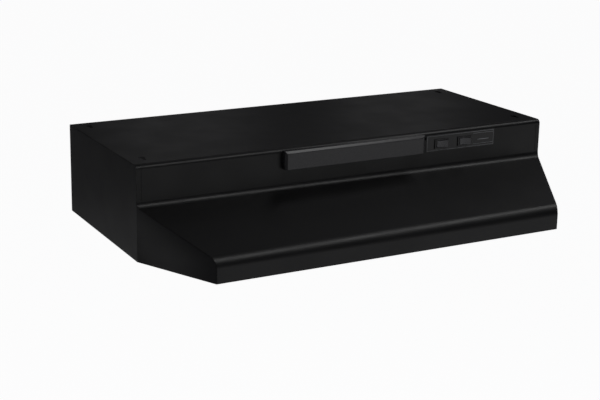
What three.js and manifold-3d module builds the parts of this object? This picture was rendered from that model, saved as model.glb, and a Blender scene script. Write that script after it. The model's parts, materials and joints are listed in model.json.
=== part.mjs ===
// A 30 inch ductless under-cabinet range hood, in millimetres: +Z up, +X to the right, the wall behind
// it at +Y. The origin is on the bottom rim's plane, in the middle of the width and the depth.
//
// Air comes up through the grease and charcoal filter, an axial fan lifts it into a plenum under the top
// panel, and it leaves through an opening in the visor, behind a deflector whose underside is open.
import * as THREE from "three";
import { mergeVertices } from "three/addons/utils/BufferGeometryUtils.js";
import Module from "manifold-3d";

const wasm = await Module();
wasm.setup();

// ---- Driving dimensions ----

// Canopy
const WIDTH = 762;
const DEPTH = 444.5;
const HEIGHT = 152.4;
const TOP_DEPTH = 302; // wall to the visor's upright face
const LIP_INSET = 67.5; // from each side to the mitred corner at the lip
const FACE_HEIGHT = 64.8; // top down to where the upright face would meet the slope
const LIP_HEIGHT = 36.5; // rim up to where the slope would meet the lip
const FACE_BEND = 12; // outside radius between the face and the slope
const LIP_BEND = 20; // outside radius between the slope and the lip
const SHEET = 0.8;
const SEAM = 0.2; // gap left between two pieces that are fastened together
const FOLD = 1.6; // outside radius of a sharp press-brake bend
const EDGE_BEND = 7; // outside radius of the visor's rounded upper edge
const FLANGE = 12;
const HEM_HEIGHT = 10;
const HEM_DEPTH = 2.4; // two sheets and the space in the fold
const HEM_BEND = 1.15; // outside radius of the hem's fold
const WRAP = 8; // side panel's return onto the front face

// Top panel's holes
const KEYHOLE_SIDE = 26; // from each side
const KEYHOLE_FRONT = 42; // from the front edge
const KEYHOLE_REAR = 24; // from the wall
const KEYHOLE_HEAD = 5.2; // radius that passes the screw's head
const KEYHOLE_SLOT = 2.6; // half the width that holds its shank
const KEYHOLE_RUN = 14;
const CABLE_HOLE_X = -218;
const CABLE_HOLE_WALL = 28.5; // from the wall
const CABLE_HOLE_R = 11;
const CABLE_HOLE_DROP = 26; // top down to the hole in the back panel
const KNOCKOUT_GAP = 0.4;

// Discharge opening and its deflector
const MOUTH_MARGIN = 8; // deflector's ends to the opening's ends
const MOUTH_HEIGHT = 21;
const MOUTH_DROP = 5; // deflector's top down to the opening
const DEFLECTOR_WIDTH = 265;
const DEFLECTOR_HEIGHT = 30.5;
const DEFLECTOR_DROP = 2.2; // top down to the deflector
const DEFLECTOR_DEPTH = 12;
const DEFLECTOR_WALL = 1.8;
const DEFLECTOR_BEVEL = { width: 4, depth: 3 }; // round its top and ends: across the front, and back
const RIB_THICK = 1.6;
const HOOK = { width: 9, thick: 1.6, rise: 1.2 }; // snaps up behind the opening's upper edge

// Controls
const PLATE_GAP = 9; // from the deflector's end
const PLATE_WIDTH = 140.8;
const PLATE_HEIGHT = 29;
const PLATE_DROP = 6;
const PLATE_THICK = 0.5;
const SWITCH_INSET = [31.5, 78.1]; // from the plate's left end: fan, then light
const SWITCH_DROP = 22.2;
const SWITCH_END = 1.8; // walls at the housing's two ends
const SWITCH_WALL = 0.4; // walls above and below the rocker
const SWITCH_DEPTH = 21; // behind the visor
const BEZEL_END = 1.5; // beyond the housing at each end
const BEZEL_EDGE = 1.4; // beyond it above and below
const BEZEL_THICK = 1.6;
const TERMINAL = { pitch: 8, thick: 0.8, width: 6.2, length: 8 };
const ROCKER_WIDTH = 22.4;
const ROCKER_HEIGHT = 11.4;
const ROCKER_TILT = 12; // degrees from the middle to each position
const ROCKER_GAP = 0.5;
const ROCKER_WELL = 8;

// Plenum and fan
const FAN_FROM_WALL = 151;
const DECK_DROP = 66.4; // top down to the deck
const DECK_HALF = 162;
const PLENUM_HALF = 150;
const PLENUM_FROM_WALL = 30;
const DECK_UPSTAND = 22; // front flange that closes against the visor
const ORIFICE_FLARE = 7;
const ORIFICE_COLLAR = 14;
const FAN_R = 89;
const FAN_GAP = 5; // blade tips to the orifice
const FAN_HEIGHT = 20;
const FAN_BLADES = 5;
const HUB_R = 19;
const HUB_WALL = 2.5;
const BLADE_THICK = 1.4;
const HUB_BOSS = 1.6; // height of the hub's boss over the blades

// Motor
const SHAFT_R = 2.4;
const STATOR_BORE = 17;
const ROTOR_GAP = 0.6; // rotor to the bore
const STATOR_WIDTH = 60;
const STATOR_STACK = 20;
const STATOR_FRONT = 26; // from the shaft to the stack's front
const LIMB = 12; // the stack's width around the coil
const WINDOW_DEPTH = 16;
const COIL_LENGTH = 34;
const COIL_BUILD = 7; // thickness of the winding on each side of the limb
const MOTOR_DROP = 20; // top panel to the stack
const BRACKET_SHEET = 1.5;
const BRACKET_WIDTH = 34;
const BRACKET_CLEAR = 7; // orifice's flare to the bracket's legs
const FOOT = 16;
const BEARING_R = 9;
const BEARING_LENGTH = 10;
const STRAP_THICK = 1.6;
const STRAP_WIDTH = 16;
const BOLT_INSET = 5; // stack's side to its through-screws

// Filter
const FILTER_WIDTH = 266.7;
const FILTER_BEYOND = 17.125; // past the orifice, in front and behind
const FILTER_THICK = 9.5;
const FILTER_RIM = 8;
const FILTER_SHEET = 0.8;
const FILTER_DROP = 82.4; // top down to the filter's upper face
const MESH_PITCH = 8; // from one fold of the screen to the next
const MESH_SHEET = 0.5;
const TAB_X = 80;
const TAB_WIDTH = 18;
const TAB_REACH = 6; // behind the hook rail
const TAB_SLOT = 3.2; // half the slot's height
const RAIL_GAP = 1.2; // filter to the hook rail
const CLIP_GAP = 0.7; // filter to the spring clips, which its upper edge needs as it swings
const CLIP_WIDTH = 16;

// Lamp
const LAMP_FROM_DECK = 20; // fan deck's edge to the reflector
const LAMP_BOX_WIDTH = 160;
const LAMP_BOX_DEPTH = 108;
const LAMP_BOX_HEIGHT = 62;
const LAMP_FROM_WALL = 205; // to the bulb's axis
const LAMP_DROP = 52;
const BULB_R = 29;
const SOCKET = { radius: 15.1, wall: 1.2, back: 9, reach: 26, collar: 19, collarThick: 2.4 };
const SOCKET_GAP = 0.6; // collar to the reflector's end
const LENS_HEIGHT = 18;
const LENS_WALL = 2;
const LENS_PIN_R = 2;
const LENS_GAP = 0.8;
const EAR = { half: 6, below: 5, inset: 12 }; // round the pin, and from the reflector's rear
const HANGER_INSET = 20; // from the reflector's ends
const HANGER_HALF = 14;
const CATCH_RISE = 5;

// Fasteners: their heads' radius and height, and the shank's length
const SCREW_R = 1.9;
const SCREW_HOLE_R = 2.3;
const DECK_SCREW = { head: 3.6, dome: 2.2, length: 5 };
const BOX_SCREW = { head: 4, dome: 2.4, length: 6 };
const RIVET = { head: 3.4, dome: 2, length: 4 };
const MOTOR_SCREW = { head: 3.4, dome: 2.2, beyond: 3 }; // past the lower bearing bracket
const SPACER_R = 3.8;

// Wiring
const WIRE_R = 1.8;
const GROMMET_R = 7;
const WIRING_BOX = { left: -290, right: -168, fromWall: 4, depth: 92, height: 40, screwInset: 14 };

// ---- Places worked out from them ----

const wall = DEPTH / 2;
const front = -DEPTH / 2;
const face = wall - TOP_DEPTH;
const side = WIDTH / 2;
const lipSide = side - LIP_INSET;
const underTop = HEIGHT - SHEET - SEAM;
const slopeTop = HEIGHT - FACE_HEIGHT;
const fanY = wall - FAN_FROM_WALL;
const deck = HEIGHT - DECK_DROP;
const deckTop = deck + SHEET;
const faceInside = face + SHEET + SEAM;
const plenumRear = wall - PLENUM_FROM_WALL;
const plateLeft = DEFLECTOR_WIDTH / 2 + PLATE_GAP;
const switchX = SWITCH_INSET.map((inset) => plateLeft + inset);
const switchZ = HEIGHT - SWITCH_DROP;
const switchWidth = ROCKER_WIDTH + 2 * (ROCKER_GAP + SWITCH_END);
const switchHeight = ROCKER_HEIGHT + 2 * (ROCKER_GAP + SWITCH_WALL);
const orificeR = FAN_R + FAN_GAP;
const bracketHalf = orificeR + ORIFICE_FLARE + BRACKET_CLEAR;
const filterDepth = 2 * (orificeR + FILTER_BEYOND);
const mouthTop = HEIGHT - DEFLECTOR_DROP - MOUTH_DROP;
const mouthHalf = DEFLECTOR_WIDTH / 2 - MOUTH_MARGIN;
const filterTop = HEIGHT - FILTER_DROP;
const filterBottom = filterTop - FILTER_THICK;
const filterRear = fanY + filterDepth / 2;
const filterFront = fanY - filterDepth / 2;
const lampY = wall - LAMP_FROM_WALL;
const lampZ = HEIGHT - LAMP_DROP;
const stackTop = HEIGHT - MOTOR_DROP;
const stackBottom = stackTop - STATOR_STACK;

// ---- Materials ----

const paint = new THREE.MeshStandardMaterial({ color: 0x101012, roughness: 0.28, metalness: 0.1 });
const blackPlastic = new THREE.MeshStandardMaterial({ color: 0x17171a, roughness: 0.4 });
const decal = new THREE.MeshStandardMaterial({ color: 0x141416, roughness: 0.5 });
const zincSteel = new THREE.MeshStandardMaterial({ color: 0xa9adb0, roughness: 0.4, metalness: 0.9 });
const lamination = new THREE.MeshStandardMaterial({ color: 0x5a5d61, roughness: 0.5, metalness: 0.8 });
const aluminium = new THREE.MeshStandardMaterial({ color: 0xc4c6c8, roughness: 0.35, metalness: 0.9 });
const brass = new THREE.MeshStandardMaterial({ color: 0xb08d4a, roughness: 0.35, metalness: 0.9 });
const copper = new THREE.MeshStandardMaterial({ color: 0x8c4a22, roughness: 0.4, metalness: 0.7 });
const fanPlastic = new THREE.MeshStandardMaterial({ color: 0xd8d6cc, roughness: 0.5 });
const carbon = new THREE.MeshStandardMaterial({ color: 0x1c1c1c, roughness: 0.95 });
const rubber = new THREE.MeshStandardMaterial({ color: 0x151515, roughness: 0.8 });
const porcelain = new THREE.MeshStandardMaterial({ color: 0xe9e5da, roughness: 0.3 });
const glass = new THREE.MeshStandardMaterial({ color: 0xf4f2ea, roughness: 0.25 });
const lensPlastic = new THREE.MeshStandardMaterial({ color: 0xeeeee8, roughness: 0.35 });
const wireCover = new THREE.MeshStandardMaterial({ color: 0x202226, roughness: 0.6 });

const hood = new THREE.Group();

// ---- Building blocks ----

// A closed three.js geometry as a solid. Triangles that collapse when vertices merge are dropped.
function solidFrom(geometry) {
  const bare = geometry.clone();
  bare.deleteAttribute("normal");
  bare.deleteAttribute("uv");
  const merged = mergeVertices(bare, 1e-4);
  const corners = merged.index.array;
  const kept = [];
  for (let i = 0; i < corners.length; i += 3) {
    const [a, b, c] = corners.slice(i, i + 3);
    if (a !== b && b !== c && a !== c) kept.push(a, b, c);
  }
  const vertProperties = new Float32Array(merged.attributes.position.array);
  return new wasm.Manifold(new wasm.Mesh({ numProp: 3, vertProperties, triVerts: new Uint32Array(kept) }));
}

function add(name, solid, material, parent = hood) {
  const made = solid.getMesh();
  const geometry = new THREE.BufferGeometry();
  geometry.setAttribute("position", new THREE.BufferAttribute(made.vertProperties, 3));
  geometry.setIndex(new THREE.BufferAttribute(made.triVerts, 1));
  const mesh = new THREE.Mesh(geometry, material);
  mesh.name = name;
  parent.add(mesh);
  return mesh;
}

function block(x0, x1, y0, y1, z0, z1) {
  const geometry = new THREE.BoxGeometry(x1 - x0, y1 - y0, z1 - z0);
  geometry.translate((x0 + x1) / 2, (y0 + y1) / 2, (z0 + z1) / 2);
  return solidFrom(geometry);
}

// A flat outline pushed from one place to another along x, y or z. The outline's own two axes are y and z,
// x and z, or x and y.
function prism(outline, axis, from, to) {
  const corners = outline.filter(([u, v], i) => {
    const [lastU, lastV] = outline.at(i - 1);
    return Math.hypot(u - lastU, v - lastV) > 1e-3;
  });
  const shape = new THREE.Shape(corners.map(([u, v]) => new THREE.Vector2(u, v)));
  const geometry = new THREE.ExtrudeGeometry(shape, { depth: to - from, bevelEnabled: false });
  const right = new THREE.Vector3(1, 0, 0);
  const back = new THREE.Vector3(0, 1, 0);
  const up = new THREE.Vector3(0, 0, 1);
  if (axis === "x") {
    geometry.applyMatrix4(new THREE.Matrix4().makeBasis(back, up, right));
    geometry.translate(from, 0, 0);
  } else if (axis === "y") {
    geometry.applyMatrix4(new THREE.Matrix4().makeBasis(right, up, back.negate()));
    geometry.translate(0, to, 0);
  } else geometry.translate(0, 0, from);
  return solidFrom(geometry);
}

// A profile of [radius, height] points turned about a vertical axis.
function turned(profile, segments = 32) {
  const points = profile.map(([r, h]) => new THREE.Vector2(r, h));
  const geometry = new THREE.LatheGeometry(points, segments);
  geometry.rotateX(Math.PI / 2);
  const solid = solidFrom(geometry);
  return solid.volume() > 0 ? solid : turned([...profile].reverse(), segments);
}

function disc(radius, z0, z1, segments = 24) {
  return turned([[0, z0], [radius, z0], [radius, z1], [0, z1]], segments);
}

function pipe(outer, inner, z0, z1, segments = 24) {
  return turned([[inner, z0], [outer, z0], [outer, z1], [inner, z1], [inner, z0]], segments);
}

function join(...solids) {
  return solids.reduce((whole, piece) => whole.add(piece));
}

// The outside surface of a bent sheet: corners of [u, v, bend radius], with its left-hand normals.
function bentPath(corners, segments = 6) {
  const points = corners.map(([u, v]) => new THREE.Vector2(u, v));
  const heading = (i) => points[i + 1].clone().sub(points[i]).normalize();
  const left = (d) => new THREE.Vector2(-d.y, d.x);
  const path = [{ at: points[0], normal: left(heading(0)) }];
  for (let i = 1; i < points.length - 1; i++) {
    const before = heading(i - 1);
    const after = heading(i);
    const turn = Math.atan2(before.cross(after), before.dot(after));
    const radius = corners[i][2];
    if (!radius) {
      const mitre = left(before).add(left(after));
      path.push({ at: points[i], normal: mitre.multiplyScalar(2 / mitre.lengthSq()) });
      continue;
    }
    const start = points[i].clone().addScaledVector(before, -radius * Math.tan(Math.abs(turn) / 2));
    const sign = Math.sign(turn);
    const centre = start.clone().addScaledVector(left(before), sign * radius);
    for (let k = 0; k <= segments; k++) {
      const angle = (turn * k) / segments;
      const direction = before.clone().rotateAround(new THREE.Vector2(), angle);
      const at = centre.clone().addScaledVector(left(direction), -sign * radius);
      path.push({ at, normal: left(direction) });
    }
  }
  path.push({ at: points.at(-1), normal: left(heading(points.length - 2)) });
  return path;
}

// The outline of that sheet between two depths under its outside surface.
function sheetOutline(path, from, to) {
  const layer = (depth) => path.map(({ at, normal }) => at.clone().addScaledVector(normal, depth));
  return [...layer(from), ...layer(to).reverse()].map((p) => [p.x, p.y]);
}

// A round-headed screw or rivet at the origin, its head up and its shank down.
function screw({ head, dome, length }) {
  const profile = [[0, -length], [SCREW_R, -length], [SCREW_R, 0], [head, 0]];
  for (const angle of [Math.PI / 6, Math.PI / 3]) {
    profile.push([head * Math.cos(angle), dome * Math.sin(angle)]);
  }
  return turned([...profile, [0, dome]], 12);
}

function wire(points) {
  const curve = new THREE.CatmullRomCurve3(points.map((p) => new THREE.Vector3(...p)), false, "centripetal");
  const sides = 8;
  const section = new THREE.Shape();
  for (let k = 0; k < sides; k++) {
    const angle = (2 * Math.PI * k) / sides;
    const corner = [WIRE_R * Math.cos(angle), WIRE_R * Math.sin(angle)];
    if (k === 0) section.moveTo(...corner);
    else section.lineTo(...corner);
  }
  const steps = Math.round(curve.getLength() / (5 * WIRE_R));
  return solidFrom(new THREE.ExtrudeGeometry(section, { steps, extrudePath: curve, bevelEnabled: false }));
}

// ---- Canopy ----

// The visor's outside surface: a flange that steps down under the top panel, the rounded upper edge
// flush with that panel, then the face, slope and lip, and round the hem.
const stepFront = face + EDGE_BEND + 0.5;
const stepRear = stepFront + SHEET + SEAM;
const panelFront = stepRear + SEAM;
const visorPath = bentPath([
  [stepRear + FLANGE, underTop],
  [stepRear, underTop],
  [stepFront, HEIGHT],
  [face, HEIGHT, EDGE_BEND],
  [face, slopeTop, FACE_BEND],
  [front, LIP_HEIGHT, LIP_BEND],
  [front, 0, HEM_BEND],
  [front + HEM_DEPTH, 0, HEM_BEND],
  [front + HEM_DEPTH, HEM_HEIGHT],
]);
const slopeTurn = Math.PI / 2 - Math.atan2(slopeTop - LIP_HEIGHT, face - front);
const wrapBottom = slopeTop + FACE_BEND * Math.tan(slopeTurn / 2) + 1; // just over the bend

// The canopy's outline from above, pulled in by a depth on the wall's side and round the mitres.
function planOutline(depth) {
  const mitre = new THREE.Vector2(side - lipSide, face - front).normalize();
  const along = depth / mitre.y; // sideways shift that moves the mitred wall in by depth
  const bendShift = depth * Math.tan(Math.atan2(mitre.x, mitre.y) / 2);
  const half = [[side - depth, wall], [side - depth, face - bendShift], [lipSide - along, front]];
  return [...half, ...half.map(([x, y]) => [-x, y]).reverse()];
}

function topPanel() {
  let plate = block(-side, side, panelFront, wall, HEIGHT - SHEET, HEIGHT);
  const above = HEIGHT + 1;
  const below = HEIGHT - SHEET - 1;
  for (const x of [KEYHOLE_SIDE - side, side - KEYHOLE_SIDE]) {
    for (const y of [face + KEYHOLE_FRONT, wall - KEYHOLE_REAR]) {
      const head = disc(KEYHOLE_HEAD, below, above, 16).translate([x, y, 0]);
      const slot = block(x - KEYHOLE_SLOT, x + KEYHOLE_SLOT, y - KEYHOLE_RUN, y, below, above);
      plate = plate.subtract(join(head, slot));
    }
  }
  const cable = disc(CABLE_HOLE_R, below, above).translate([CABLE_HOLE_X, wall - CABLE_HOLE_WALL, 0]);
  return plate.subtract(cable);
}

// Punched nearly through, so it stays in its hole until someone needs a cable there.
function knockout() {
  return disc(CABLE_HOLE_R - KNOCKOUT_GAP, HEIGHT - SHEET, HEIGHT)
    .translate([CABLE_HOLE_X, wall - CABLE_HOLE_WALL, 0]);
}

function backPanel() {
  const half = side - SHEET - SEAM;
  const path = bentPath([
    [wall - HEM_DEPTH, HEM_HEIGHT],
    [wall - HEM_DEPTH, 0, HEM_BEND],
    [wall, 0, HEM_BEND],
    [wall, underTop, FOLD],
    [wall - FLANGE, underTop],
  ]);
  let panel = prism(sheetOutline(path, 0, SHEET), "x", -half, half);
  const clear = HEM_DEPTH + SEAM; // the side panels' hems stand here
  for (const sign of [-1, 1]) {
    const ends = [sign * half, sign * (half - SHEET)].sort((a, b) => a - b);
    panel = panel.add(block(...ends, wall - FLANGE, wall, HEM_HEIGHT + 4, underTop - FLANGE));
    const notch = [sign * (side - clear), sign * side].sort((a, b) => a - b);
    panel = panel.subtract(block(...notch, wall - 20, wall + 1, -1, HEM_HEIGHT + 2));
  }
  const cable = disc(CABLE_HOLE_R, 0, 10).rotate([90, 0, 0]);
  return panel.subtract(cable.translate([CABLE_HOLE_X, wall + 1, HEIGHT - CABLE_HOLE_DROP]));
}

function sidePanel(sign) {
  const innerDepth = SHEET + SEAM;
  const shell = prism(planOutline(0), "z", 0, underTop).subtract(prism(planOutline(SHEET), "z", -1, HEIGHT));
  const fold = prism(planOutline(0), "z", 0, SHEET)
    .subtract(prism(planOutline(HEM_DEPTH), "z", -1, SHEET + 1));
  const hem = prism(planOutline(HEM_DEPTH - SHEET), "z", 0, HEM_HEIGHT)
    .subtract(prism(planOutline(HEM_DEPTH), "z", -1, HEM_HEIGHT + 1));
  const insideVisor = sheetOutline(visorPath, innerDepth, innerDepth).slice(0, visorPath.length);
  const reach = insideVisor.filter(([u, v]) => u > front + innerDepth - 0.01 && v > HEM_HEIGHT);
  const region = [[wall, 0], [wall, underTop], ...reach, [front + innerDepth, 0]];
  let panel = join(shell, fold, hem).intersect(prism(region, "x", -side, side));
  // Turned-in flange under the top panel, and the return onto the front with the visor's own outline.
  const flangeRear = wall - FLANGE - 2;
  const flangeFront = panelFront + FLANGE + 4;
  panel = panel.add(block(side - FLANGE, side, flangeFront, flangeRear, underTop - SHEET, underTop));
  const corner = block(0, WIDTH, front - 1, stepFront, wrapBottom, HEIGHT + 1);
  const around = prism(sheetOutline(visorPath, 0, SHEET), "x", side - WRAP, side).intersect(corner);
  const within = sheetOutline(visorPath, 0, 0).slice(0, visorPath.length);
  const onFace = within.filter(([u, v]) => u <= stepFront && v > wrapBottom);
  const cheekOutline = [[stepFront, wrapBottom], ...onFace, [face, wrapBottom]];
  const cheek = prism(cheekOutline, "x", side - SHEET, side);
  const behindCheek = block(side - SHEET, side, stepFront - 0.1, panelFront + 8, wrapBottom, underTop);
  panel = join(panel, around, cheek, behindCheek);
  panel = panel.intersect(block(0, WIDTH, front - 1, wall + 1, -1, HEIGHT + 1));
  return sign > 0 ? panel : panel.mirror([1, 0, 0]);
}

function frontVisor() {
  const hemStart = HEM_HEIGHT + 0.5;
  let visor = prism(sheetOutline(visorPath, 0, SHEET), "x", -side, side);
  visor = visor.intersect(prism(planOutline(0), "z", -1, HEIGHT));
  for (const sign of [-1, 1]) {
    const corner = [sign * (side - WRAP - SEAM), sign * (side + 1)].sort((a, b) => a - b);
    const cutRear = stepRear + FLANGE + 1;
    visor = visor.subtract(block(...corner, face - 1, cutRear, wrapBottom - SEAM, HEIGHT + 1));
    const end = [sign * (lipSide - 6), sign * (side + 1)].sort((a, b) => a - b);
    visor = visor.subtract(block(...end, front + SHEET, front + 10, -1, hemStart));
  }
  visor = visor.subtract(
    block(-mouthHalf, mouthHalf, face - 2, face + 4, mouthTop - MOUTH_HEIGHT, mouthTop));
  for (const x of switchX) {
    visor = visor.subtract(switchHole(x, face - 2, face + 4));
  }
  return visor;
}

function switchHole(x, y0, y1) {
  const w = switchWidth / 2 + SEAM;
  const h = switchHeight / 2 + SEAM;
  return block(x - w, x + w, y0, y1, switchZ - h, switchZ + h);
}

// The deflector's outside, or with an inset the space inside its walls, which runs out past its open
// back and underside.
function deflectorShape(inset) {
  const half = DEFLECTOR_WIDTH / 2 - inset;
  const top = HEIGHT - DEFLECTOR_DROP - inset;
  const rear = face - SEAM;
  const nose = rear - DEFLECTOR_DEPTH + inset;
  const lean = Math.atan2(DEFLECTOR_BEVEL.width, DEFLECTOR_BEVEL.depth);
  const back = DEFLECTOR_BEVEL.depth + inset * (Math.tan(lean / 2) - 1);
  const across = DEFLECTOR_BEVEL.width + inset * (Math.tan(Math.PI / 4 - lean / 2) - 1);
  const past = inset > 0 ? 1 : 0;
  const bottom = HEIGHT - DEFLECTOR_DROP - DEFLECTOR_HEIGHT - past;
  const profile = [
    [rear + past, bottom], [rear + past, top], [nose + back, top], [nose, top - across], [nose, bottom]];
  const plan = [[half, rear + past], [half, nose + back], [half - across, nose]];
  plan.push(...plan.map(([x, y]) => [-x, y]).reverse());
  return prism(profile, "x", -half, half).intersect(prism(plan, "z", bottom, top));
}

// A cover open at the back and underneath, so that the air leaves downwards.
function airDeflector() {
  const half = DEFLECTOR_WIDTH / 2;
  const top = HEIGHT - DEFLECTOR_DROP;
  const bottom = top - DEFLECTOR_HEIGHT;
  const rear = face - SEAM;
  let cover = deflectorShape(0).subtract(deflectorShape(DEFLECTOR_WALL));
  for (const x of [-half / 3, half / 3]) {
    const ends = [x - RIB_THICK / 2, x + RIB_THICK / 2];
    const rib = block(...ends, rear - DEFLECTOR_DEPTH, rear - 3, bottom + 3, top);
    cover = cover.add(rib.intersect(deflectorShape(DEFLECTOR_WALL / 2)));
  }
  // Hooks that reach in under the mouth's upper edge and snap up behind the visor.
  const { width, thick, rise } = HOOK;
  const hookTop = mouthTop - SEAM;
  const hookBottom = hookTop - thick;
  for (const x of [2 * width - mouthHalf, 0, mouthHalf - 2 * width]) {
    const ends = [x - width / 2, x + width / 2];
    const arm = block(...ends, rear - 3, faceInside + thick, hookBottom, hookTop);
    const stem = block(...ends, rear - 3, rear - 3 + thick, hookBottom, top - 1);
    const barb = block(...ends, faceInside, faceInside + thick, hookBottom, hookTop + rise);
    cover = join(cover, arm, stem, barb);
  }
  return cover;
}

function controlPlate() {
  const top = HEIGHT - PLATE_DROP;
  let plate = block(
    plateLeft, plateLeft + PLATE_WIDTH, face - SEAM - PLATE_THICK, face - SEAM, top - PLATE_HEIGHT, top);
  for (const x of switchX) plate = plate.subtract(switchHole(x, face - 5, face + 1));
  return plate;
}

add("top_panel", topPanel(), paint);
add("cable_knockout", knockout(), paint);
add("back_panel", backPanel(), paint);
add("left_side_panel", sidePanel(-1), paint);
add("right_side_panel", sidePanel(1), paint);
add("front_visor", frontVisor(), paint);
add("air_deflector", airDeflector(), blackPlastic);
add("control_plate", controlPlate(), decal);

// ---- Rocker switches ----

const plateFace = face - SEAM - PLATE_THICK;
const pivotY = plateFace - SEAM - BEZEL_THICK + 2.4;

function switchBody(x) {
  const bezelRear = plateFace - SEAM;
  const bezelFront = bezelRear - BEZEL_THICK;
  const w = switchWidth / 2 + BEZEL_END;
  const h = switchHeight / 2 + BEZEL_EDGE;
  const chamfer = 0.7;
  const bezel = prism([
    [x - w, bezelRear],
    [x + w, bezelRear],
    [x + w, bezelFront + chamfer],
    [x + w - chamfer, bezelFront],
    [x - w + chamfer, bezelFront],
    [x - w, bezelFront + chamfer],
  ], "z", switchZ - h, switchZ + h);
  const rear = face + SWITCH_DEPTH;
  const z0 = switchZ - switchHeight / 2;
  const housing = block(
    x - switchWidth / 2, x + switchWidth / 2, bezelRear - 0.5, rear, z0, z0 + switchHeight);
  const wellX = ROCKER_WIDTH / 2 + ROCKER_GAP;
  const wellZ = ROCKER_HEIGHT / 2 + ROCKER_GAP;
  const well = block(
    x - wellX, x + wellX, bezelFront - 1, pivotY + ROCKER_WELL, switchZ - wellZ, switchZ + wellZ);
  const { pitch, thick, width, length } = TERMINAL;
  const blades = [x - pitch, x, x + pitch].map((at) => block(
    at - thick / 2, at + thick / 2, rear - 1, rear + length, switchZ - width / 2, switchZ + width / 2));
  return join(bezel, housing).subtract(well).add(join(...blades));
}

// Its ends are round about the pivot, so it keeps its gap as it rocks. Its front is two shallow slopes.
function rocker() {
  const reach = ROCKER_WIDTH / 2;
  const keel = 3.4;
  const crown = -5.2;
  const edge = (y, sign) => [sign * Math.sqrt(reach * reach - y * y), y];
  const arc = (from, to, sign) => [0, 1, 2, 3, 4].map((k) => edge(from + ((to - from) * k) / 4, sign));
  const outline = [...arc(keel, crown, -1), [0, crown + 1.9], ...arc(crown, keel, 1)];
  return prism(outline, "z", -ROCKER_HEIGHT / 2, ROCKER_HEIGHT / 2);
}

["fan", "light"].forEach((name, i) => {
  add(name + "_switch_body", switchBody(switchX[i]), blackPlastic);
  const turn = new THREE.Group();
  turn.position.set(switchX[i], pivotY, switchZ);
  turn.rotation.z = THREE.MathUtils.degToRad(-ROCKER_TILT);
  add(name + "_rocker", rocker(), blackPlastic, turn);
  hood.add(turn);
});

// ---- Plenum ----

const deckScrewPlaces = [[-1, 1], [1, 1], [-1, -1], [1, -1]].map(([sx, sy]) => [
  sx * (PLENUM_HALF + (FLANGE - 2) / 2), fanY + sy * 90]);
const rivetPlaces = [-1, 1].map((sign) => [sign * (bracketHalf + FOOT / 2 + 2), fanY]);

const holesThrough = (places, radius, z0, z1) =>
  join(...places.map(([x, y]) => disc(radius, z0, z1, 12).translate([x, y, 0])));
const deckScrewHoles = () => holesThrough(deckScrewPlaces, SCREW_HOLE_R, deck - 2, deckTop + 3);
const rivetHoles = () => holesThrough(rivetPlaces, SCREW_HOLE_R, deck - 2, deckTop + 4);

function fanDeck() {
  const rear = plenumRear + FLANGE;
  const plate = block(-DECK_HALF, DECK_HALF, faceInside, rear, deck, deckTop);
  const upstand = block(-DECK_HALF, DECK_HALF, faceInside, faceInside + SHEET, deck, deck + DECK_UPSTAND);
  const flare = orificeR + ORIFICE_FLARE;
  const hole = disc(flare - 0.5, deck - 1, deckTop + 1, 40).translate([0, fanY, 0]);
  const steps = 4;
  const curve = (radius) => Array.from({ length: steps + 1 }, (_, k) => {
    const angle = (k * Math.PI) / 2 / steps;
    return [flare - radius * Math.sin(angle), deck + ORIFICE_FLARE - radius * Math.cos(angle)];
  });
  const under = curve(ORIFICE_FLARE);
  const over = curve(ORIFICE_FLARE - SHEET).reverse();
  const top = deck + ORIFICE_COLLAR;
  const loop = [...under, [orificeR, top], [orificeR + SHEET, top], ...over, under[0]];
  const orifice = turned(loop, 40).translate([0, fanY, 0]);
  return join(plate, upstand).subtract(hole).add(orifice).subtract(deckScrewHoles())
    .subtract(rivetHoles());
}

// Left, rear and right walls bent from one strip, with flanges onto the deck and under the top panel.
function plenumWrap() {
  const bottom = deckTop + SEAM;
  const mouth = faceInside + SHEET + SEAM;
  const path = bentPath([
    [PLENUM_HALF, mouth],
    [PLENUM_HALF, plenumRear, 3],
    [-PLENUM_HALF, plenumRear, 3],
    [-PLENUM_HALF, mouth],
  ], 3);
  const walls = prism(sheetOutline(path, 0, SHEET), "z", bottom, underTop);
  const lip = FLANGE - 2;
  const ledges = [];
  for (const z of [bottom, underTop - SHEET]) {
    const runY = [mouth + 14, plenumRear - 4];
    ledges.push(block(PLENUM_HALF - 0.1, PLENUM_HALF + lip, ...runY, z, z + SHEET));
    ledges.push(block(-PLENUM_HALF - lip, -PLENUM_HALF + 0.1, ...runY, z, z + SHEET));
    ledges.push(block(-PLENUM_HALF + 4, PLENUM_HALF - 4, plenumRear - 0.1, plenumRear + lip, z, z + SHEET));
  }
  // Its front upper corners step down under the visor's top flange.
  const step = block(
    -side, side, face, stepRear + FLANGE + SEAM, underTop - SHEET - FOLD - EDGE_BEND, HEIGHT);
  let wrap = join(walls, ...ledges).subtract(step).subtract(deckScrewHoles());
  for (const [x, y, z] of grommetPlaces()) {
    const hole = disc(GROMMET_R - 1.5, -4, 4, 16).rotate([0, 90, 0]).translate([x, y, z]);
    wrap = wrap.subtract(hole);
  }
  return wrap;
}

function grommetPlaces() {
  const x = PLENUM_HALF - SHEET / 2;
  const z = HEIGHT - 20;
  return [[-x, wall - 58, z], [x, wall - 58, z], [x, wall - 216, z]];
}

function grommet() {
  const lip = 1.6;
  const half = SHEET / 2 + SEAM;
  const neck = GROMMET_R - 1.5 - SEAM;
  const bore = WIRE_R + 1.2;
  const profile = [
    [bore, -half - lip], [GROMMET_R, -half - lip], [GROMMET_R, -half], [neck, -half],
    [neck, half], [GROMMET_R, half], [GROMMET_R, half + lip], [bore, half + lip], [bore, -half - lip],
  ];
  return turned(profile, 12).rotate([0, 90, 0]);
}

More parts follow.
